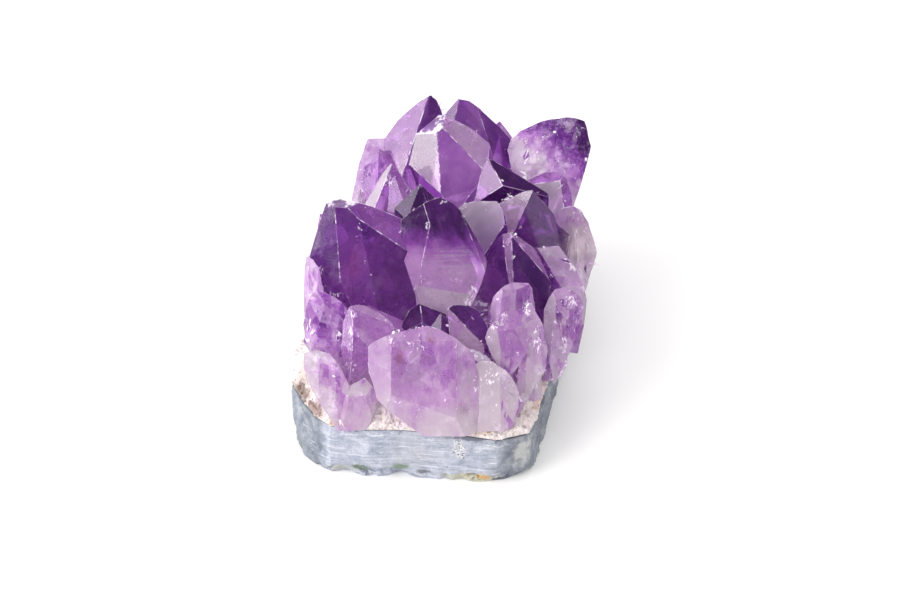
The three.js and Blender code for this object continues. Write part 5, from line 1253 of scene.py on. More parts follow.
# massive quartz that the crystals grow from
P, IN, T = ring(108)
levels = [
    (8.5 + 0 * T, ROCK_TOP + 0 * T),
    (8.5 + 0.6 * ripple(T * 5, 2), 21 + 0 * T),
    (12.5 + 0.9 * ripple(T * 4, 4), 26.5 + 0 * T),
    (18.5 + 0 * T, 30 + 0 * T),
]
verts = np.vstack([np.column_stack([P + IN * inset[:, None], z]) for inset, z in levels] + [[[0, 0, ROCK_TOP]], [[0, 0, 31]]])
base = mesh_object("massive", verts, stack_grid(4, 108))
crystals = boolean(base, parts, "UNION")


def crust_room(grow):
    z0 = rock_top(P[:, 0], P[:, 1])
    lv = [
        (0.6 - grow + 0 * T, z0 - 1.5),
        (0.3 - grow + 0.25 * ripple(T * 4, 6), z0 + 0.3 + CRUST_EDGE * 0.55),
        (1.5 - grow + 0.5 * ripple(T * 5, 7), z0 + 0.3 + CRUST_EDGE + grow),
        (5.2 - grow + 0.7 * ripple(T * 4, 8), z0 + 0.3 + CRUST_EDGE + 2.4 + 0.3 * ripple(T * 6, 3) + grow),
        (10.5 - grow + 0 * T, z0 + 0.3 + CRUST_RISE + grow),
    ]
    v = np.vstack([np.column_stack([P + IN * inset[:, None], z]) for inset, z in lv]
                  + [[[0, 0, ROCK_TOP - 1.5]], [[0, 0, ROCK_TOP + 0.3 + CRUST_RISE + 1 + grow]]])
    return mesh_object("room", v, stack_grid(5, 108))


bm = bmesh.new()
bmesh.ops.create_cube(bm, size=1.0)
bmesh.ops.scale(bm, vec=(0.3, 0.3, 0.06), verts=bm.verts)
bmesh.ops.translate(bm, vec=(0, 0, 0.0162 - 0.03), verts=bm.verts)
below = finish_bm("below", bm)
crystals = boolean(crystals, [crust_room(-0.7), below], "DIFFERENCE")
crystals.name = "crystals_grown"


def keep_largest(ob):
    bm = bmesh.new()
    bm.from_mesh(ob.data)
    bm.verts.ensure_lookup_table()
    seen, best = set(), []
    for v in bm.verts:
        if v in seen:
            continue
        todo, group = [v], []
        seen.add(v)
        while todo:
            u = todo.pop()
            group.append(u)
            for e in u.link_edges:
                w = e.other_vert(u)
                if w not in seen:
                    seen.add(w)
                    todo.append(w)
        if len(group) > len(best):
            best = group
    keep = set(best)
    bmesh.ops.delete(bm, geom=[v for v in bm.verts if v not in keep], context="VERTS")
    bm.to_mesh(ob.data)
    bm.free()


keep_largest(crystals)


def label_crystals(ob):
    """Finds which crystal each polygon belongs to and stores growth values on its corners."""
    me = ob.data
    nv, nf, nl = len(me.vertices), len(me.polygons), len(me.loops)
    co = np.zeros(nv * 3)
    me.vertices.foreach_get("co", co)
    co = co.reshape(-1, 3) / MM
    nrm = np.zeros(nf * 3)
    me.polygons.foreach_get("normal", nrm)
    nrm = nrm.reshape(-1, 3)
    cen = np.zeros(nf * 3)
    me.polygons.foreach_get("center", cen)
    cen = cen.reshape(-1, 3) / MM
    start = np.zeros(nf, int)
    me.polygons.foreach_get("loop_start", start)
    total = np.zeros(nf, int)
    me.polygons.foreach_get("loop_total", total)
    lv = np.zeros(nl, int)
    me.loops.foreach_get("vertex_index", lv)
    N = np.array([p[1] for p in all_planes])
    D = np.array([p[2] for p in all_planes])
    C = np.array([p[0] for p in all_planes])
    K = np.array([p[3] for p in all_planes])
    err = np.abs(cen @ N.T - D) + 4.0 * (1 - nrm @ N.T)
    best = err.argmin(1)
    looks = np.array([t[2] for t in tips_axes])
    good = err[np.arange(nf), best] < np.where(looks[C[best], 2] >= 0.3, 0.55, 0.03)
    # other faces, chips and worn edges among them, take the crystal whose surface is nearest
    S = np.array([p[4] for p in all_planes])
    inside = np.zeros((nf, len(rows)))
    for c in range(len(rows)):
        sel = C == c
        inside[:, c] = (cen @ N[sel].T - D[sel]).max(1)
    near = np.where(np.abs(inside) < 1.3, np.abs(inside), 9).argmin(1)
    crystal = np.where(good, C[best], near)
    kind = np.where(good, K[best], 3)
    facet = np.where(good, best, 0)
    shade = np.where(good, S[best], 0)
    tips = np.array([t[0] for t in tips_axes])
    axes = np.array([t[1] for t in tips_axes])
    look = np.array([t[2] for t in tips_axes])
    poly_of = np.repeat(np.arange(nf), total)
    cr = crystal[poly_of]
    p = co[lv]
    h = ((tips[cr] - p) * axes[cr]).sum(1)
    grow = np.column_stack([h / 50, look[cr, 0], look[cr, 2], look[cr, 1] / 50])
    # each face's painted reflection and painted shade, kept in the alpha of the facet colour
    painted_face_light = shade[poly_of]
    fr = np.random.default_rng(77)
    facet_rand = fr.uniform(size=len(all_planes))
    crystal_rand = fr.uniform(size=len(rows))
    # bevels and chips are whitened in the material: partly worn quartz, partly painted edge glints
    worn_and_glint = (kind == 3).astype(float)[poly_of]
    face = np.column_stack([facet_rand[facet][poly_of], worn_and_glint, crystal_rand[cr], painted_face_light])
    for name, data in (("grow", grow), ("facet", face)):
        a = me.color_attributes.new(name, "FLOAT_COLOR", "CORNER")
        a.data.foreach_set("color", data.astype(np.float32).ravel())
    return worn_and_glint.mean()


print("worn share", label_crystals(crystals), "tris", len(crystals.data.polygons))

# ---- amethyst material --------------------------------------------------------------
# bruised places and painted glints on the crystals, in mm: middle, half lengths, how strong
FLAKE_GLINTS = [
    ((-28.9, -28.2, 43.6), (1.2, 1.2, 2), 0.8),
    ((-27.4, -30.6, 38.8), (1.6, 1.4, 2.2), 1),
    ((-24.3, -31, 38.6), (1.8, 1.4, 0.9), 1),
    ((10.6, -24.1, 39.6), (1.3, 1.3, 1.8), 1),
    ((9.6, -25.6, 37.3), (1.6, 1.4, 1.2), 0.9),
    ((-4.6, -49.8, 40.6), (1.9, 1.4, 0.8), 1.2),
    ((25.5, -26.1, 39.4), (1, 1, 2), 1.1),
    ((-2.6, -17.9, 54.3), (0.8, 0.8, 1.2), 1.2),
    ((19.4, -14, 45.1), (0.6, 0.8, 1), 1),
    ((16.5, -47.6, 26.4), (0.9, 1, 1.3), 1),
    ((20.1, -45.2, 29.1), (2.5, 2, 2.5), 0.7),
    ((29.2, -32.3, 36.2), (0.8, 1, 1.2), 1),
    ((29.9, -33.8, 32.6), (1.5, 1.5, 3.5), 0.8),
    ((34.3, -4.9, 37.8), (1.6, 1, 1.8), 0.9),
    ((-19.5, 9.2, 49.3), (1, 1.4, 2.6), 1.3),
    ((-17.2, -40.8, 40.7), (1.3, 1.2, 2.4), 1.1),
    ((-17.1, -42.9, 36.8), (1, 1, 2.2), 1),
    ((-16.9, -45, 32.6), (1.2, 1, 2.2), 1.1),
    ((-16, -46.9, 29), (1.4, 1.2, 2), 1),
    ((-0.1, -49.4, 39.8), (1.2, 1, 0.8), 0.9),
    ((3.1, -48.9, 38.7), (1.6, 1, 0.9), 0.8),
    ((18.7, -35.6, 38.2), (1.2, 1.2, 2.4), 1),
    ((20.1, -32.5, 39.7), (1.6, 1.3, 1.3), 1),
    ((26.2, -30.1, 39.8), (1.2, 1.2, 1.2), 1),
    ((35.3, -24.3, 26.1), (1, 1.4, 2.2), 1),
    ((-27.5, -21, 59.4), (1.8, 1, 1), 1),
    ((0.8, -12.9, 59.4), (2, 1.2, 0.7), 0.8),
    ((-27.7, -42.1, 34.5), (1.5, 1.3, 2.6), 0.8),
    ((36, -17.9, 36.3), (2.6, 2, 1.6), 1.1),
]


def amethyst():
    g = Graph("amethyst_quartz")
    pos = g.pos()
    grow = g.attr("grow")
    h, tone, cloud = g.split(grow.outputs["Color"])
    fade = grow.outputs["Alpha"]
    face = g.attr("facet")
    frand, worn_and_glint, crand = g.split(face.outputs["Color"])
    painted_face_light = face.outputs["Alpha"]
    # zones of colour: how far below the point, bent by slow noise, with finer feathering
    slow = g.noise(pos, 95, 2, 0.5)
    feather = g.noise(g.scale(pos, (1, 1, 0.45)), 520, 3, 0.62)
    bend = g.math("ADD", g.math("MULTIPLY", g.math("SUBTRACT", slow, 0.5), 0.26),
                  g.math("MULTIPLY", g.math("SUBTRACT", feather, 0.5), 0.13))
    depth = g.math("ADD", h, bend)
    zone = g.math("DIVIDE", depth, fade)
    dark = g.map(zone, 0.38, 1.22, 1.0, 0.0, smooth=True)
    least = g.math("MULTIPLY", tone, g.math("SUBTRACT", 0.30, g.math("MULTIPLY", cloud, 0.55)), clamp=True)
    amount = g.lerp(dark, least, tone)
    # the low crystals are full of sealed breaks: crisp shards, pale and deep, and fibres along the crystal
    milky = g.map(cloud, 0.2, 0.5)
    shard_at = g.node("VectorRotate", {"rotation_type": "EULER_XYZ"}, Vector=g.vadd(g.scale(pos, (1, 1, 0.42)), g.scale(g.noise(pos, 170, 2, 0.5, 0, True), (0.003, 0.003, 0.003))))
    shard_at.inputs["Rotation"].default_value = (0.9, -0.5, 0.4)
    sh1, sh2, _ = g.split(g.voronoi(shard_at.outputs[0], 290, "F1", 1))
    # painted reflections of the far faces and cracks inside: angular patches, lighter and darker
    slant = g.node("VectorRotate", {"rotation_type": "EULER_XYZ"}, Vector=g.vadd(g.scale(pos, (1, 1, 0.5)), g.scale(g.noise(pos, 170, 2, 0.5, 0, True), (0.0016, 0.0016, 0.0016))))
    slant.inputs["Rotation"].default_value = (0.5, 0.35, 0.8)
    big_cell = g.split(g.voronoi(slant.outputs[0], 150, "F1", 1))[0]
    inner_reflection_paint = g.math("ADD", g.math("MULTIPLY", g.math("SUBTRACT", big_cell, 0.5), 0.20),
                   g.math("MULTIPLY", g.math("SUBTRACT", sh1, 0.5), 0.09))
    inner_reflection_paint = g.math("MULTIPLY", inner_reflection_paint, g.map(g.noise(pos, 90, 2), 0.35, 0.6, 0.15, 1.0))
    amount = g.math("ADD", amount, g.math("MULTIPLY", inner_reflection_paint, g.math("ADD", 0.35, g.math("MULTIPLY", amount, 0.9))))
    sh3, sh4, _ = g.split(g.voronoi(shard_at.outputs[0], 760, "F1", 1))
    where = g.map(g.noise(pos, 130, 2), 0.40, 0.58)
    pale_shard = g.math("MULTIPLY", g.math("MULTIPLY", g.math("MAXIMUM", g.map(sh1, 0.72, 0.76), g.map(sh3, 0.84, 0.88)), where), milky)
    deep_shard = g.math("MULTIPLY", g.math("MULTIPLY", g.math("MAXIMUM", g.map(sh2, 0.66, 0.72), g.map(sh4, 0.80, 0.84)), g.map(g.noise(pos, 90, 2), 0.42, 0.56)), milky)
    fibre = g.noise(g.scale(pos, (1500, 1500, 260)), 1.0, 2, 0.6)
    amount = g.math("ADD", amount, g.math("MULTIPLY", deep_shard, g.map(tone, 0.0, 0.4, 0.03, 0.27)))
    amount = g.math("SUBTRACT", amount, g.math("MULTIPLY", pale_shard, 0.18))
    amount = g.math("ADD", amount, g.math("MULTIPLY", g.math("MULTIPLY", g.math("SUBTRACT", fibre, 0.5), 0.34), milky))
    # faces differ a little from each other
    amount = g.math("ADD", amount, g.math("MULTIPLY", g.math("SUBTRACT", frand, 0.5), 0.10))
    # painted reflection makes faces paler, painted shade makes them darker
    amount = g.math("ADD", amount, painted_face_light, clamp=True)
    colour = g.ramp(amount, [
        (0.0, srgb(250, 236, 250)),
        (0.20, srgb(236, 194, 246)),
        (0.40, srgb(208, 142, 230)),
        (0.62, srgb(158, 84, 192)),
        (0.80, srgb(116, 48, 152)),
        (1.0, srgb(70, 18, 98))])
    # cloudy veils
    veil = g.noise(pos, 260, 3, 0.68)
    veil_hi = g.map(veil, 0.52, 0.72, 0, 1, smooth=True)
    cloudy = g.math("MULTIPLY", g.math("ADD", veil_hi, 0.0), cloud, clamp=True)
    colour = g.mix(g.math("MULTIPLY", cloudy, 0.75), colour, srgb(236, 224, 240))
    # iron stains sealed in the big front crystal
    for at, size, tint, much in (
            ((-2.5, -51.4, 36.5), (1.5, 1.5, 2.3), srgb(160, 86, 96), 0.55),
            ((5.4, -48.5, 41.0), (1.5, 1.5, 1.4), srgb(196, 118, 104), 0.7),
            ((9.0, -49.0, 40.5), (3.4, 2.0, 1.1), srgb(176, 72, 150), 0.45),
            ((0.5, -51.5, 33.0), (4.5, 3.0, 3.5), srgb(150, 86, 178), 0.35),
            ((8.7, -54.5, 21.5), (5.0, 3.0, 3.6), srgb(244, 228, 246), 0.75),
            ((-20.5, -27.0, 45.0), (3.6, 4.0, 8.0), srgb(176, 84, 168), 0.35)):
        colour = g.mix(g.math("MULTIPLY", spot(g, pos, at, size, 0.5, 500, 0.8), much), colour, tint)
    colour = g.mix(g.math("MULTIPLY", spot(g, pos, (33.0, 13.0, 34.0), (5.5, 8.0, 8.0), 0.5, 500, 0.8), 0.6), colour, srgb(226, 212, 206))
    # fine growth lines across the middle of the tall front crystal
    streaks = g.noise(g.scale(g.vadd(pos, (0, 0, 0)), (70, 40, 2300)), 1.0, 2, 0.5)
    band = spot(g, pos, (4.2, -21.0, 46.6), (8.0, 6.0, 3.4), 0.7, 500, 0.7)
    colour = g.mix(g.math("MULTIPLY", band, g.map(streaks, 0.53, 0.60, 0, 0.55)), colour, srgb(248, 236, 252))
    # magenta warmth low in the dark crystals
    warm = g.math("MULTIPLY", g.map(g.noise(pos, 90, 2), 0.5, 0.72, 0, 0.55, smooth=True), g.map(h, 0.2, 0.6))
    colour = g.mix(warm, colour, srgb(172, 90, 190), "MIX")
    # small bright flakes, partly bruised surface and partly painted glints: (point, length, turn)
    flakes = None
    ragged = g.noise(pos, 500, 4, 0.65)
    for at, size, much in FLAKE_GLINTS:
        one = g.math("MULTIPLY", spot(g, pos, at, size, 0.9, 500, 0.9, ragged), much)
        flakes = one if flakes is None else g.math("MAXIMUM", flakes, one)
    grit = g.noise(g.scale(pos, (1.3, 1.0, 0.42)), 1500, 3, 0.66)
    flake_glint = g.math("MULTIPLY", g.map(g.math("ADD", grit, g.math("MULTIPLY", flakes, 0.13)), 0.60, 0.68, 0.0, 0.85), g.map(flakes, 0.04, 0.3))
    # and scattered painted glints, small bright sparkles, on the low crystals
    stray_glint = g.math("MULTIPLY", g.map(grit, 0.64, 0.69, 0.0, 0.8), g.math("MULTIPLY", milky, g.map(g.noise(pos, 210, 2), 0.50, 0.60)))
    flake_glint = g.math("MAXIMUM", flake_glint, stray_glint)
    colour = g.mix(g.math("MULTIPLY", pale_shard, 0.25), colour, srgb(248, 236, 252))
    # white worn edges and chips, in places only: partly real bruised quartz, partly painted glints along the bevelled
    # edges
    rubbed = worn_and_glint
    worn_and_glint = g.math("MULTIPLY", worn_and_glint, g.map(g.noise(pos, 420, 2), 0.48, 0.58, 0.25, 1.0))
    colour = g.mix(g.math("MULTIPLY", g.math("MAXIMUM", worn_and_glint, flake_glint), 0.88), colour, srgb(252, 246, 255))
    g.set(Base_Color=colour, IOR=1.544)
    clear = g.math("SUBTRACT", 0.76, g.math("MULTIPLY", cloudy, 0.35))
    clear = g.math("SUBTRACT", clear, g.math("MULTIPLY", cloud, 0.22))
    clear = g.math("SUBTRACT", clear, g.math("MULTIPLY", g.math("MAXIMUM", worn_and_glint, flake_glint), 0.55), clamp=True)
    g.set(Transmission_Weight=clear)
    rough = g.math("ADD", 0.10, g.math("MULTIPLY", g.map(veil, 0.45, 0.75), 0.06))
    rough = g.math("ADD", rough, g.math("MULTIPLY", cloudy, 0.25))
    rough = g.math("ADD", rough, g.math("MULTIPLY", worn_and_glint, 0.22))
    g.set(Roughness=rough)
    # growth lines across the faces, and low hillocks on them
    lines = g.node("TexWave", {"wave_type": "BANDS", "bands_direction": "X", "wave_profile": "SAW"},
                   Scale=1.0, Distortion=0.0)
    lv = g.node("CombineXYZ")
    hill = g.noise(pos, 190, 2, 0.45)
    g.put(lv.inputs[0], g.math("ADD", g.math("MULTIPLY", h, 9.0), g.math("MULTIPLY", hill, 1.6)))
    g.nt.links.new(lv.outputs[0], lines.inputs["Vector"])
    lmask = g.map(hill, 0.5, 0.62)
    fine = g.noise(pos, 2600, 1, 0.6)
    height = g.math("ADD", g.math("MULTIPLY", g.math("MULTIPLY", lines.outputs[1], lmask), 0.05), g.math("MULTIPLY", hill, 0.10))
    height = g.math("ADD", height, g.math("MULTIPLY", fine, g.math("ADD", 0.0006, g.math("MULTIPLY", rubbed, 0.09))))
    g.put(g.bsdf.inputs["Normal"], g.bump(height, 0.00022, 1.0))
    vol = g.node("VolumeAbsorption", Color=(0.82, 0.58, 0.88, 1), Density=9.0)
    g.nt.links.new(vol.outputs[0], g.out.inputs["Volume"])
    return g.mat


crystals.data.materials.clear()
crystals.data.materials.append(amethyst())
crystals.data.polygons.foreach_set("material_index", [0] * len(crystals.data.polygons))
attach(crystals, "root")
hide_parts("amethyst_crystals")

# ---- crumbs on the edges, and healed cracks sealed inside ------------------------------
def quick_lumps(name, places, sizes, flats, dirs, r):
    """Many small irregular lumps in one mesh: 8-sided double cones with uneven corners."""
    n = len(places)
    ring_ = np.array([[math.cos(t), math.sin(t), 0] for t in np.arange(6) * math.pi / 3] + [[0, 0, 1], [0, 0, -1]])
    shape = ring_[None] * r.uniform(0.55, 1.25, size=(n, 8, 1))
    shape[:, :, 2] *= flats[:, None]
    up_ = dirs / np.linalg.norm(dirs, axis=1)[:, None]
    side_ = np.cross(up_, r.normal(size=(n, 3)))
    side_ /= np.linalg.norm(side_, axis=1)[:, None]
    other_ = np.cross(up_, side_)
    out = (shape[:, :, :1] * side_[:, None] + shape[:, :, 1:2] * other_[:, None] + shape[:, :, 2:] * up_[:, None])
    out = places[:, None] + out * sizes[:, None, None]
    tri = [(k, (k + 1) % 6, 6) for k in range(6)] + [((k + 1) % 6, k, 7) for k in range(6)]
    faces = (np.array(tri)[None] + 8 * np.arange(n)[:, None, None]).reshape(-1, 3)
    return mesh_object(name, out.reshape(-1, 3), faces.tolist())


r = np.random.default_rng(5150)
me = crystals.data
npoly = len(me.polygons)
cen = np.zeros(npoly * 3)
me.polygons.foreach_get("center", cen)
cen = cen.reshape(-1, 3) / MM
pn = np.zeros(npoly * 3)
me.polygons.foreach_get("normal", pn)
pn = pn.reshape(-1, 3)
pa = np.zeros(npoly)
me.polygons.foreach_get("area", pa)
pa /= MM * MM
ls = np.zeros(npoly, int)
me.polygons.foreach_get("loop_start", ls)
col = np.zeros(len(me.loops) * 4, np.float32)
me.color_attributes["facet"].data.foreach_get("color", col)
worn_face = col.reshape(-1, 4)[ls, 1] > 0.5
me.color_attributes["grow"].data.foreach_get("color", col)
cloud_face = col.reshape(-1, 4)[ls, 2]
lvi = np.zeros(len(me.loops), int)
me.loops.foreach_get("vertex_index", lvi)
allv = np.zeros(len(me.vertices) * 3)
me.vertices.foreach_get("co", allv)
allv = allv.reshape(-1, 3) / MM
total_ = np.zeros(npoly, int)
me.polygons.foreach_get("loop_total", total_)


def on_faces(pick, count):
    """Random points on the chosen faces, evenly by area, and the faces' numbers."""
    idx = np.flatnonzero(pick)
    w = np.cumsum(pa[idx])
    f = idx[np.searchsorted(w, r.uniform(0, w[-1], size=count))]
    k = 1 + (r.uniform(size=count) * (total_[f] - 2)).astype(int)
    a_, b_, c_ = allv[lvi[ls[f]]], allv[lvi[ls[f] + k]], allv[lvi[ls[f] + k + 1]]
    u_, v_ = r.uniform(size=(2, count))
    flip = u_ + v_ > 1
    u_, v_ = np.where(flip, 1 - u_, u_), np.where(flip, 1 - v_, v_)
    return a_ + (b_ - a_) * u_[:, None] + (c_ - a_) * v_[:, None], f


# crumbs cluster where slow noise is high, mostly on worn edges and on the cloudy lower crystals
p1, f1_ = on_faces(worn_face & (cen[:, 2] > 19), 2600)
keep = fbm(p1 / 5.0, 2, 71) > 0.30
p1, f1_ = p1[keep], f1_[keep]
p2, f2_ = on_faces(~worn_face & (cen[:, 2] > 18) & (cloud_face > 0.25) & (pn[:, 2] > -0.3), 2600)
keep = fbm(p2 / 3.2, 2, 73) > 0.45
p2, f2_ = p2[keep], f2_[keep]
p3, f3_ = on_faces(~worn_face & (cen[:, 2] > 25), 150)
places = np.vstack([p1, p2, p3])
normals = pn[np.concatenate([f1_, f2_, f3_])]
size = np.minimum(0.06 + r.exponential(0.07, size=len(places)), 0.34)
crumbs = quick_lumps("edge_crumbs", places, size, np.full(len(places), 0.6), normals, r)


def crumb_mat(name, base, trans, rough_):
    g = Graph(name)
    n = g.noise(g.pos(), 900, 3)
    g.set(Base_Color=g.mix(g.map(n, 0.35, 0.65), base, (0.96, 0.92, 0.97)), IOR=1.5, Transmission_Weight=trans, Roughness=g.map(n, 0.3, 0.7, rough_, rough_ + 0.25))
    g.put(g.bsdf.inputs["Normal"], g.bump(g.noise(g.pos(), 5000, 2), 0.00008, 1.0))
    return g.mat


crumbs.data.materials.append(crumb_mat("quartz_crumbs", srgb(228, 210, 236), 0.2, 0.15))
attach(crumbs, "root")

# healed cracks: sheets of tiny bubbles and flakes under the faces
seeds, sf = on_faces(~worn_face & (cen[:, 2] > 19) & (pn @ np.array([0.168, -0.791, 0.588]) > 0.1), 900)
keep = (fbm(seeds / 6.0, 2, 79) + 0.9 * cloud_face[sf] > 0.22)
seeds, sf = seeds[keep][:420], sf[keep][:420]
pts_, dirs_, size_, flat_ = [], [], [], []
for s_, f_ in zip(seeds, sf):
    n_ = pn[f_]
    deep = r.uniform(0.3, 1.6)
    plane = n_ * r.uniform(0.2, 1.0) + r.normal(size=3) * 0.6
    plane /= np.linalg.norm(plane)
    u_ = np.cross(plane, r.normal(size=3))
    u_ /= np.linalg.norm(u_)
    w_ = np.cross(plane, u_)
    m_ = int(r.integers(14, 60))
    ext = r.uniform(0.6, 2.4)
    a_ = r.normal(size=m_) * ext * 0.5
    b_ = r.normal(size=m_) * ext * r.uniform(0.15, 0.4)
    bend_ = r.normal() * 0.25
    q = s_ - n_ * deep + u_ * a_[:, None] + w_ * b_[:, None] + plane * (bend_ * (a_ ** 2))[:, None]
    # stay inside this face's own half space
    over = ((q - s_) @ n_) + 0.25
    q = q - n_ * np.clip(over, 0, None)[:, None]
    pts_.append(q)
    dirs_.append(np.tile(plane, (m_, 1)) + r.normal(size=(m_, 3)) * 0.2)
    size_.append(np.minimum(0.05 + r.exponential(0.11, size=m_), 0.7))
    flat_.append(r.uniform(0.12, 0.5, size=m_))
veils = quick_lumps("healed_cracks", np.vstack(pts_), np.concatenate(size_), np.concatenate(flat_), np.vstack(dirs_), r)
veils.data.materials.append(crumb_mat("healed_crack_bubbles", srgb(244, 226, 248), 0.0, 0.3))
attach(veils, "root")
print("crumbs", len(crumbs.data.polygons), "veils", len(veils.data.polygons))

# ---- crust ----------------------------------------------------------------------------
def loft(levels, rows):
    """Interpolates ring levels, each (inset, z) arrays, into more rows, evenly along the wall."""
    inset = np.array([l[0] for l in levels])
    z = np.array([l[1] for l in levels])
    n = inset.shape[1]
    step = np.hypot(np.diff(inset, axis=0), np.diff(z, axis=0)).mean(1)
    s = np.concatenate([[0], np.cumsum(step)])
    want = np.linspace(0, s[-1], rows)
    out_i, out_z = np.zeros((rows, n)), np.zeros((rows, n))
    for k, w in enumerate(want):
        j = min(len(s) - 2, np.searchsorted(s, w, side="right") - 1)
        f = (w - s[j]) / (s[j + 1] - s[j])
        out_i[k] = inset[j] * (1 - f) + inset[j + 1] * f
        out_z[k] = z[j] * (1 - f) + z[j + 1] * f
    return out_i, out_z


def vertex_normals(ob):
    n = np.zeros(len(ob.data.vertices) * 3)
    ob.data.vertices.foreach_get("normal", n)
    return n.reshape(-1, 3)


def get_co(ob):
    co = np.zeros(len(ob.data.vertices) * 3)
    ob.data.vertices.foreach_get("co", co)
    return co.reshape(-1, 3) / MM


def set_co(ob, co):
    ob.data.vertices.foreach_set("co", (co * MM).ravel())
    ob.data.update()


NC = 1000
PC, INC, TC = ring(NC)
z0 = rock_top(PC[:, 0], PC[:, 1])
one = np.ones(NC)
ci_, cz_ = loft([
    (4.5 * one, z0 + 0.1),
    (0.7 * one, z0 + 0.3),
    (0.3 + 0.25 * ripple(TC * 4, 6), z0 + 0.3 + CRUST_EDGE * 0.55),
    (1.5 + 0.5 * ripple(TC * 5, 7), z0 + 0.3 + CRUST_EDGE),
    (5.2 + 0.7 * ripple(TC * 4, 8), z0 + 0.3 + CRUST_EDGE + 2.4 + 0.3 * ripple(TC * 6, 3)),
    (10.5 * one, z0 + 0.3 + CRUST_RISE),
    (24 * one, z0 + 0.3 + CRUST_RISE + 1.0),
], 64)
verts = []
for k in range(len(ci_)):
    verts.append(np.column_stack([PC + INC * ci_[k][:, None], cz_[k]]))
verts = np.vstack(verts + [[[0, 0, ROCK_TOP + 0.3]], [[0, 0, ROCK_TOP + 0.3 + CRUST_RISE + 1]]])
crust = mesh_object("druse_crust", verts, stack_grid(len(ci_), NC))
co = get_co(crust)
nrm = vertex_normals(crust)
d1, d2, who = cells(co / 1.7, 5)
e1, e2, who2 = cells(co / 0.62, 8)
lump = (0.60 * (0.55 - d1) + 0.34 * (who - 0.5)) + 0.26 * (0.5 - e1) + 0.16 * (who2 - 0.5) + 0.70 * fbm(co / 3.4, 4, 3) + 0.12 * fbm(co / 0.5, 2, 9)
# pits along the rim, and a rise at the left shoulder
pit = smooth(fbm(co / np.array([1.9, 1.9, 1.0]), 3, 21), 0.22, 0.5)
lump = lump - 0.55 * pit
under = (nrm[:, 2] < -0.4)
lump = np.where(under, 0, lump)
co = co + nrm * (lump * 1.12)[:, None]
rise = np.exp(-((co[:, 0] + 29) ** 2 / 18 + (co[:, 1] + 41) ** 2 / 60)) * smooth(co[:, 2], 16.0, 18.5)
co[:, 2] += 4.5 * rise
set_co(crust, co)


def crust_mat():
    g = Graph("druse_quartz")
    pos = g.pos()
    big = g.noise(pos, 120, 4, 0.6, 0.8)
    mid = g.noise(pos, 420, 4, 0.6, 0.5)
    grain = g.voronoi(pos, 1300, "F1")
    colour = g.ramp(mid, [
        (0.30, srgb(196, 180, 176)), (0.42, srgb(226, 214, 212)), (0.58, srgb(240, 232, 232)), (0.75, srgb(222, 204, 196))])
    brown = g.map(big, 0.54, 0.66, 0, 1, smooth=True)
    colour = g.mix(g.math("MULTIPLY", brown, 0.50), colour, srgb(176, 156, 142))
    for at, size, tint, much in (
            ((-29.5, -46.5, 17.0), (4.4, 4.0, 3.2), srgb(118, 92, 78), 0.85),
            ((-26.0, -52.5, 17.2), (4.8, 3.0, 1.9), srgb(132, 102, 84), 0.8),
            ((-32.0, -42.0, 15.5), (3.0, 7.0, 2.2), srgb(150, 128, 112), 0.75),
            ((-18.6, -57.2, 17.0), (2.3, 1.8, 1.4), srgb(208, 152, 104), 0.8),
            ((-14.0, -56.6, 16.4), (3.0, 1.4, 0.8), srgb(196, 150, 112), 0.5),
            ((24.6, -48.7, 17.6), (1.7, 1.7, 1.5), srgb(104, 80, 70), 0.9),
            ((27.0, -43.4, 16.8), (1.4, 1.2, 1.0), srgb(124, 98, 86), 0.75),
            ((19.8, -51.2, 16.6), (3.0, 1.8, 1.2), srgb(204, 178, 150), 0.75),
            ((30.5, -34.0, 15.6), (2.0, 6.0, 1.6), srgb(236, 208, 190), 0.6),
            ((12.0, 50.0, 17.5), (7.0, 4.0, 2.4), srgb(150, 122, 104), 0.7),
            ((-30.0, 20.0, 17.0), (4.0, 8.0, 2.4), srgb(168, 140, 120), 0.6)):
        colour = g.mix(g.math("MULTIPLY", spot(g, pos, at, size, 0.9, 420), much), colour, tint)
    orange = g.map(g.noise(pos, 210, 3), 0.66, 0.74, 0, 0.45, smooth=True)
    colour = g.mix(orange, colour, srgb(214, 168, 128))
    dots = g.noise(g.scale(pos, (1, 1, 1.9)), 900, 3, 0.6)
    colour = g.mix(g.map(dots, 0.63, 0.68, 0, 0.8), colour, srgb(64, 52, 56))
    specks = g.map(g.noise(pos, 1900, 2, 0.5), 0.68, 0.74, 0, 0.85)
    colour = g.mix(g.math("MULTIPLY", specks, 0.6), colour, srgb(90, 76, 76))
    colour = g.mix(g.map(g.split(g.voronoi(pos, 1300, "F1", 1))[0], 0.0, 1.0, 0.0, 0.3), colour, srgb(186, 172, 176))
    g.set(Base_Color=colour, Roughness=g.map(mid, 0.3, 0.7, 0.35, 0.75), IOR=1.54)
    h = g.math("ADD", g.math("MULTIPLY", grain, -0.5), g.math("MULTIPLY", g.noise(pos, 2400, 3), 0.5))
    g.put(g.bsdf.inputs["Normal"], g.bump(h, 0.00035, 1.0))
    return g.mat


crust.data.materials.append(crust_mat())
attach(crust, "root")
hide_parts("quartz_crust")

# ---- host rock ---------------------------------------------------------------------------
NR = 1000
PR, INR, TR = ring(NR)
z0 = rock_top(PR[:, 0], PR[:, 1])
front = PR[:, 1] < -40
amp = np.where(front, 0.25, 1.0)


def rough(a, s):
    return amp * a * ripple(TR * 2.5, s)


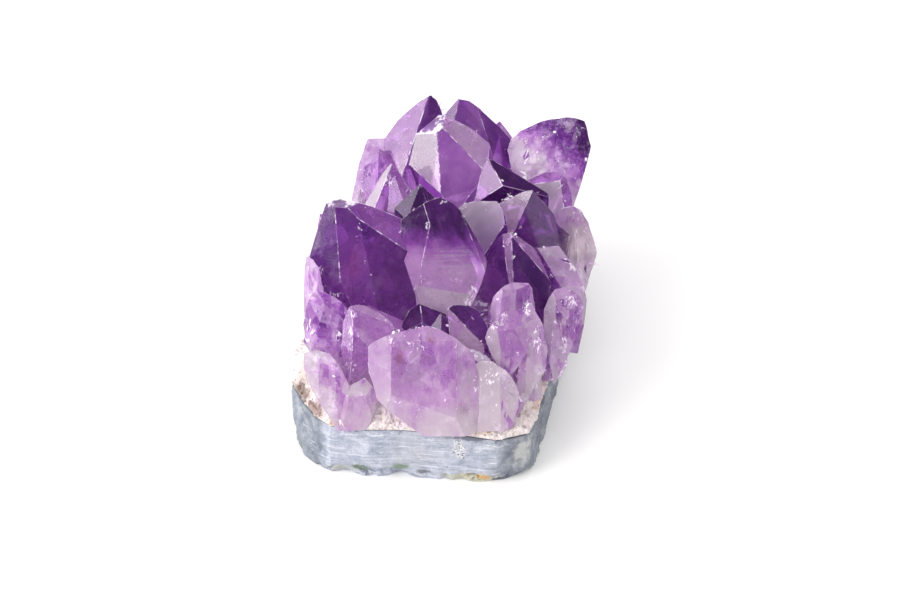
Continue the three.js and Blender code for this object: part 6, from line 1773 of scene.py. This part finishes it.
one = np.ones(NR)
ri_, rz_ = loft([
    (8.0 * one, 0 * one),
    (0.25 + rough(0.35, 1), 0 * one),
    (0.1 + rough(0.35, 2), 1.4 * one),
    (0.0 + rough(0.4, 3), 4.2 * one),
    (0.1 + rough(0.45, 4), 8.4 * one),
    (0.35 + rough(0.4, 5), 12.0 * one),
    (0.6 * one, z0),
    (7.0 * one, z0 + 0.02),
], 84)
verts = []
for k in range(len(ri_)):
    verts.append(np.column_stack([PR + INR * ri_[k][:, None], rz_[k]]))
verts = np.vstack(verts + [[[0, 0, 0]], [[0, 0, ROCK_TOP]]])
rock = mesh_object("host_rock_slab", verts, stack_grid(len(ri_), NR))
co = get_co(rock)
for plan, tilt, depth in BREAKS:
    if tilt < -30:
        depth *= 0.1 if -150 < plan < -70 or plan == 180 else 0.4
    if plan == -104:
        continue
    a, e = math.radians(plan), math.radians(tilt)
    n = np.array([math.cos(e) * math.cos(a), math.cos(e) * math.sin(a), math.sin(e)])
    reach = (co @ n).max()
    over = np.clip(co @ n - (reach - depth), 0, None)
    co = co - n * over[:, None]
# the bulge of the broken left front, and the notches under the front
low = 1 - smooth(co[:, 2], 2.0, 11.0)
bulge = np.exp(-((co[:, 0] + 31.5) ** 2 + (co[:, 1] + 49.0) ** 2) / 42) * (0.4 + 0.6 * low)
co[:, :2] += np.array([-0.72, -0.69]) * (2.2 * bulge)[:, None]
at_front = smooth(-co[:, 1], 44, 48)
foot = 1 - smooth(co[:, 2], 0.8, 4.2)
for x0, w, d in ((-2.4, 3.4, 2.3), (5.5, 2.0, 0.9), (-16.5, 2.6, 1.6), (14.0, 1.6, 1.0), (9.5, 1.0, 0.8), (-9.0, 1.2, 0.8), (22.5, 2.2, 0.5), (-24.0, 1.6, 0.7)):
    co[:, 1] += d * np.exp(-((co[:, 0] - x0) / w) ** 2) * foot * at_front
set_co(rock, co)
nrm = vertex_normals(rock)
flat_front = smooth(-nrm[:, 1], 0.72, 0.93) * smooth(co[:, 0], -24, -20)
broken = 1 - 0.86 * flat_front
d1, d2, who = cells(co / 4.2, 61)
f1, f2, who2 = cells(co / np.array([1.9, 1.9, 1.4]), 67)
lump = (0.55 * fbm(co / 4.5, 5, 31) + 0.9 * (who - 0.5) * smooth(d2 - d1, 0.0, 0.30)
        + 0.34 * (who2 - 0.5) * smooth(f2 - f1, 0.0, 0.25)) * broken
lump = lump + 0.10 * fbm(co / 0.7, 3, 37) * (0.5 + 0.5 * broken)
# saw marks on the front, chips along its lower rim and its upper rim
saw = 0.10 * fbm(co * np.array([0.05, 0.05, 2.6]), 3, 41) + 0.07 * vnoise(co * np.array([0.025, 0.025, 5.5]), 43)
lump = lump + flat_front * saw
rim = smooth(fbm(co / np.array([2.6, 2.6, 1.5]), 3, 47), 0.05, 0.45)
lump = lump - flat_front * rim * (1.7 * (1 - smooth(co[:, 2], 1.0, 3.8)) + 0.55 * smooth(co[:, 2], 12.2, 13.8))
lump = np.where(nrm[:, 2] < -0.9, 0, lump)
lump = lump * (1 - smooth(nrm[:, 2], 0.6, 0.9))
co = co + nrm * lump[:, None]
co[:, 2] = np.maximum(co[:, 2], 0)
set_co(rock, co)


def rock_mat():
    g = Graph("grey_rock")
    pos = g.pos()
    xyz = g.node("SeparateXYZ", Vector=pos)
    x, y, z = xyz.outputs
    big = g.noise(pos, 60, 4, 0.6)
    mid = g.noise(pos, 300, 4, 0.6, 0.4)
    fine = g.noise(pos, 2200, 3, 0.6)
    front = g.math("MULTIPLY", g.map(y, -0.050, -0.0525), g.map(x, -0.0235, -0.0205))
    colour = g.ramp(mid, [(0.3, srgb(152, 159, 178)), (0.5, srgb(184, 189, 206)), (0.7, srgb(214, 216, 228))])
    broken = g.ramp(mid, [(0.3, srgb(104, 110, 122)), (0.5, srgb(134, 140, 152)), (0.68, srgb(164, 168, 176)), (0.8, srgb(198, 198, 194))])
    colour = g.mix(front, broken, colour)
    colour = g.mix(g.map(fine, 0.42, 0.7, 0, 0.4), colour, srgb(118, 122, 138))
    colour = g.mix(g.map(big, 0.5, 0.7, 0, 0.4, smooth=True), colour, srgb(176, 178, 184))
    # saw marks: pale and dark lines along the cut face
    marks = g.noise(g.scale(pos, (90, 90, 1300)), 1.0, 5, 0.7)
    colour = g.mix(g.math("MULTIPLY", front, g.map(marks, 0.54, 0.68, 0, 0.75)), colour, srgb(238, 238, 246))
    colour = g.mix(g.math("MULTIPLY", front, g.map(marks, 0.46, 0.34, 0, 0.45)), colour, srgb(128, 134, 156))
    nick = g.noise(g.scale(pos, (260, 260, 2600)), 1.0, 2, 0.5)
    colour = g.mix(g.map(nick, 0.66, 0.72, 0, 0.7), colour, srgb(240, 240, 244))
    colour = g.mix(g.map(nick, 0.33, 0.27, 0, 0.6), colour, srgb(84, 88, 104))
    # white mineral streaks on the broken sides
    streak = g.noise(g.scale(pos, (1, 1, 0.6)), 420, 5, 0.7, 0.3)
    colour = g.mix(g.math("MULTIPLY", g.math("SUBTRACT", 1.0, front), g.map(streak, 0.60, 0.72, 0, 0.4, smooth=True)), colour, srgb(226, 222, 218))
    for at, size, tint, much in (
            ((17.8, -52.2, 14.4), (7.6, 3.0, 1.15), srgb(92, 96, 112), 0.85),
            ((-1.7, -54.6, 3.6), (2.2, 3.0, 1.5), srgb(112, 134, 108), 0.8),
            ((-11.9, -56.6, 3.0), (2.8, 3.0, 1.2), srgb(104, 120, 100), 0.8),
            ((4.0, -54.0, 2.2), (2.4, 3.0, 0.9), srgb(86, 92, 96), 0.7),
            ((16.5, -52.4, 1.2), (9.0, 3.0, 1.5), srgb(206, 202, 176), 0.8),
            ((-18.0, -57.0, 1.4), (5.0, 3.0, 1.3), srgb(184, 186, 172), 0.6),
            ((19.5, -52.0, 1.6), (2.6, 3.0, 0.8), srgb(204, 158, 100), 0.85),
            ((28.5, -46.0, 8.0), (3.0, 4.0, 5.0), srgb(206, 206, 204), 0.7),
            ((-30.0, -47.0, 3.0), (4.5, 5.0, 2.2), srgb(118, 126, 120), 0.6)):
        colour = g.mix(g.math("MULTIPLY", spot(g, pos, at, size, 0.8, 380), much), colour, tint)
    patch = spot(g, pos, (13.3, -53.0, 10.4), (1.9, 3.0, 3.4), 0.7, 500)
    colour = g.mix(g.math("MULTIPLY", patch, g.map(g.noise(pos, 1900, 2), 0.48, 0.56)), colour, srgb(238, 234, 228))
    colour = g.mix(g.math("MULTIPLY", patch, g.map(g.noise(pos, 1600, 2), 0.58, 0.62)), colour, srgb(70, 70, 76))
    g.set(Base_Color=colour, Roughness=g.map(mid, 0.3, 0.7, 0.7, 0.9))
    line = g.noise(g.scale(pos, (60, 60, 2200)), 1.0, 3, 0.6)
    h = g.math("ADD", g.math("MULTIPLY", line, g.math("ADD", 0.1, g.math("MULTIPLY", front, 0.7))), g.math("MULTIPLY", fine, 0.6))
    h = g.math("ADD", h, g.math("MULTIPLY", g.noise(pos, 900, 3, 0.6), 0.6))
    g.put(g.bsdf.inputs["Normal"], g.bump(h, 0.0004, 1.0))
    return g.mat


rock.data.materials.append(rock_mat())
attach(rock, "root")
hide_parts("host_rock")
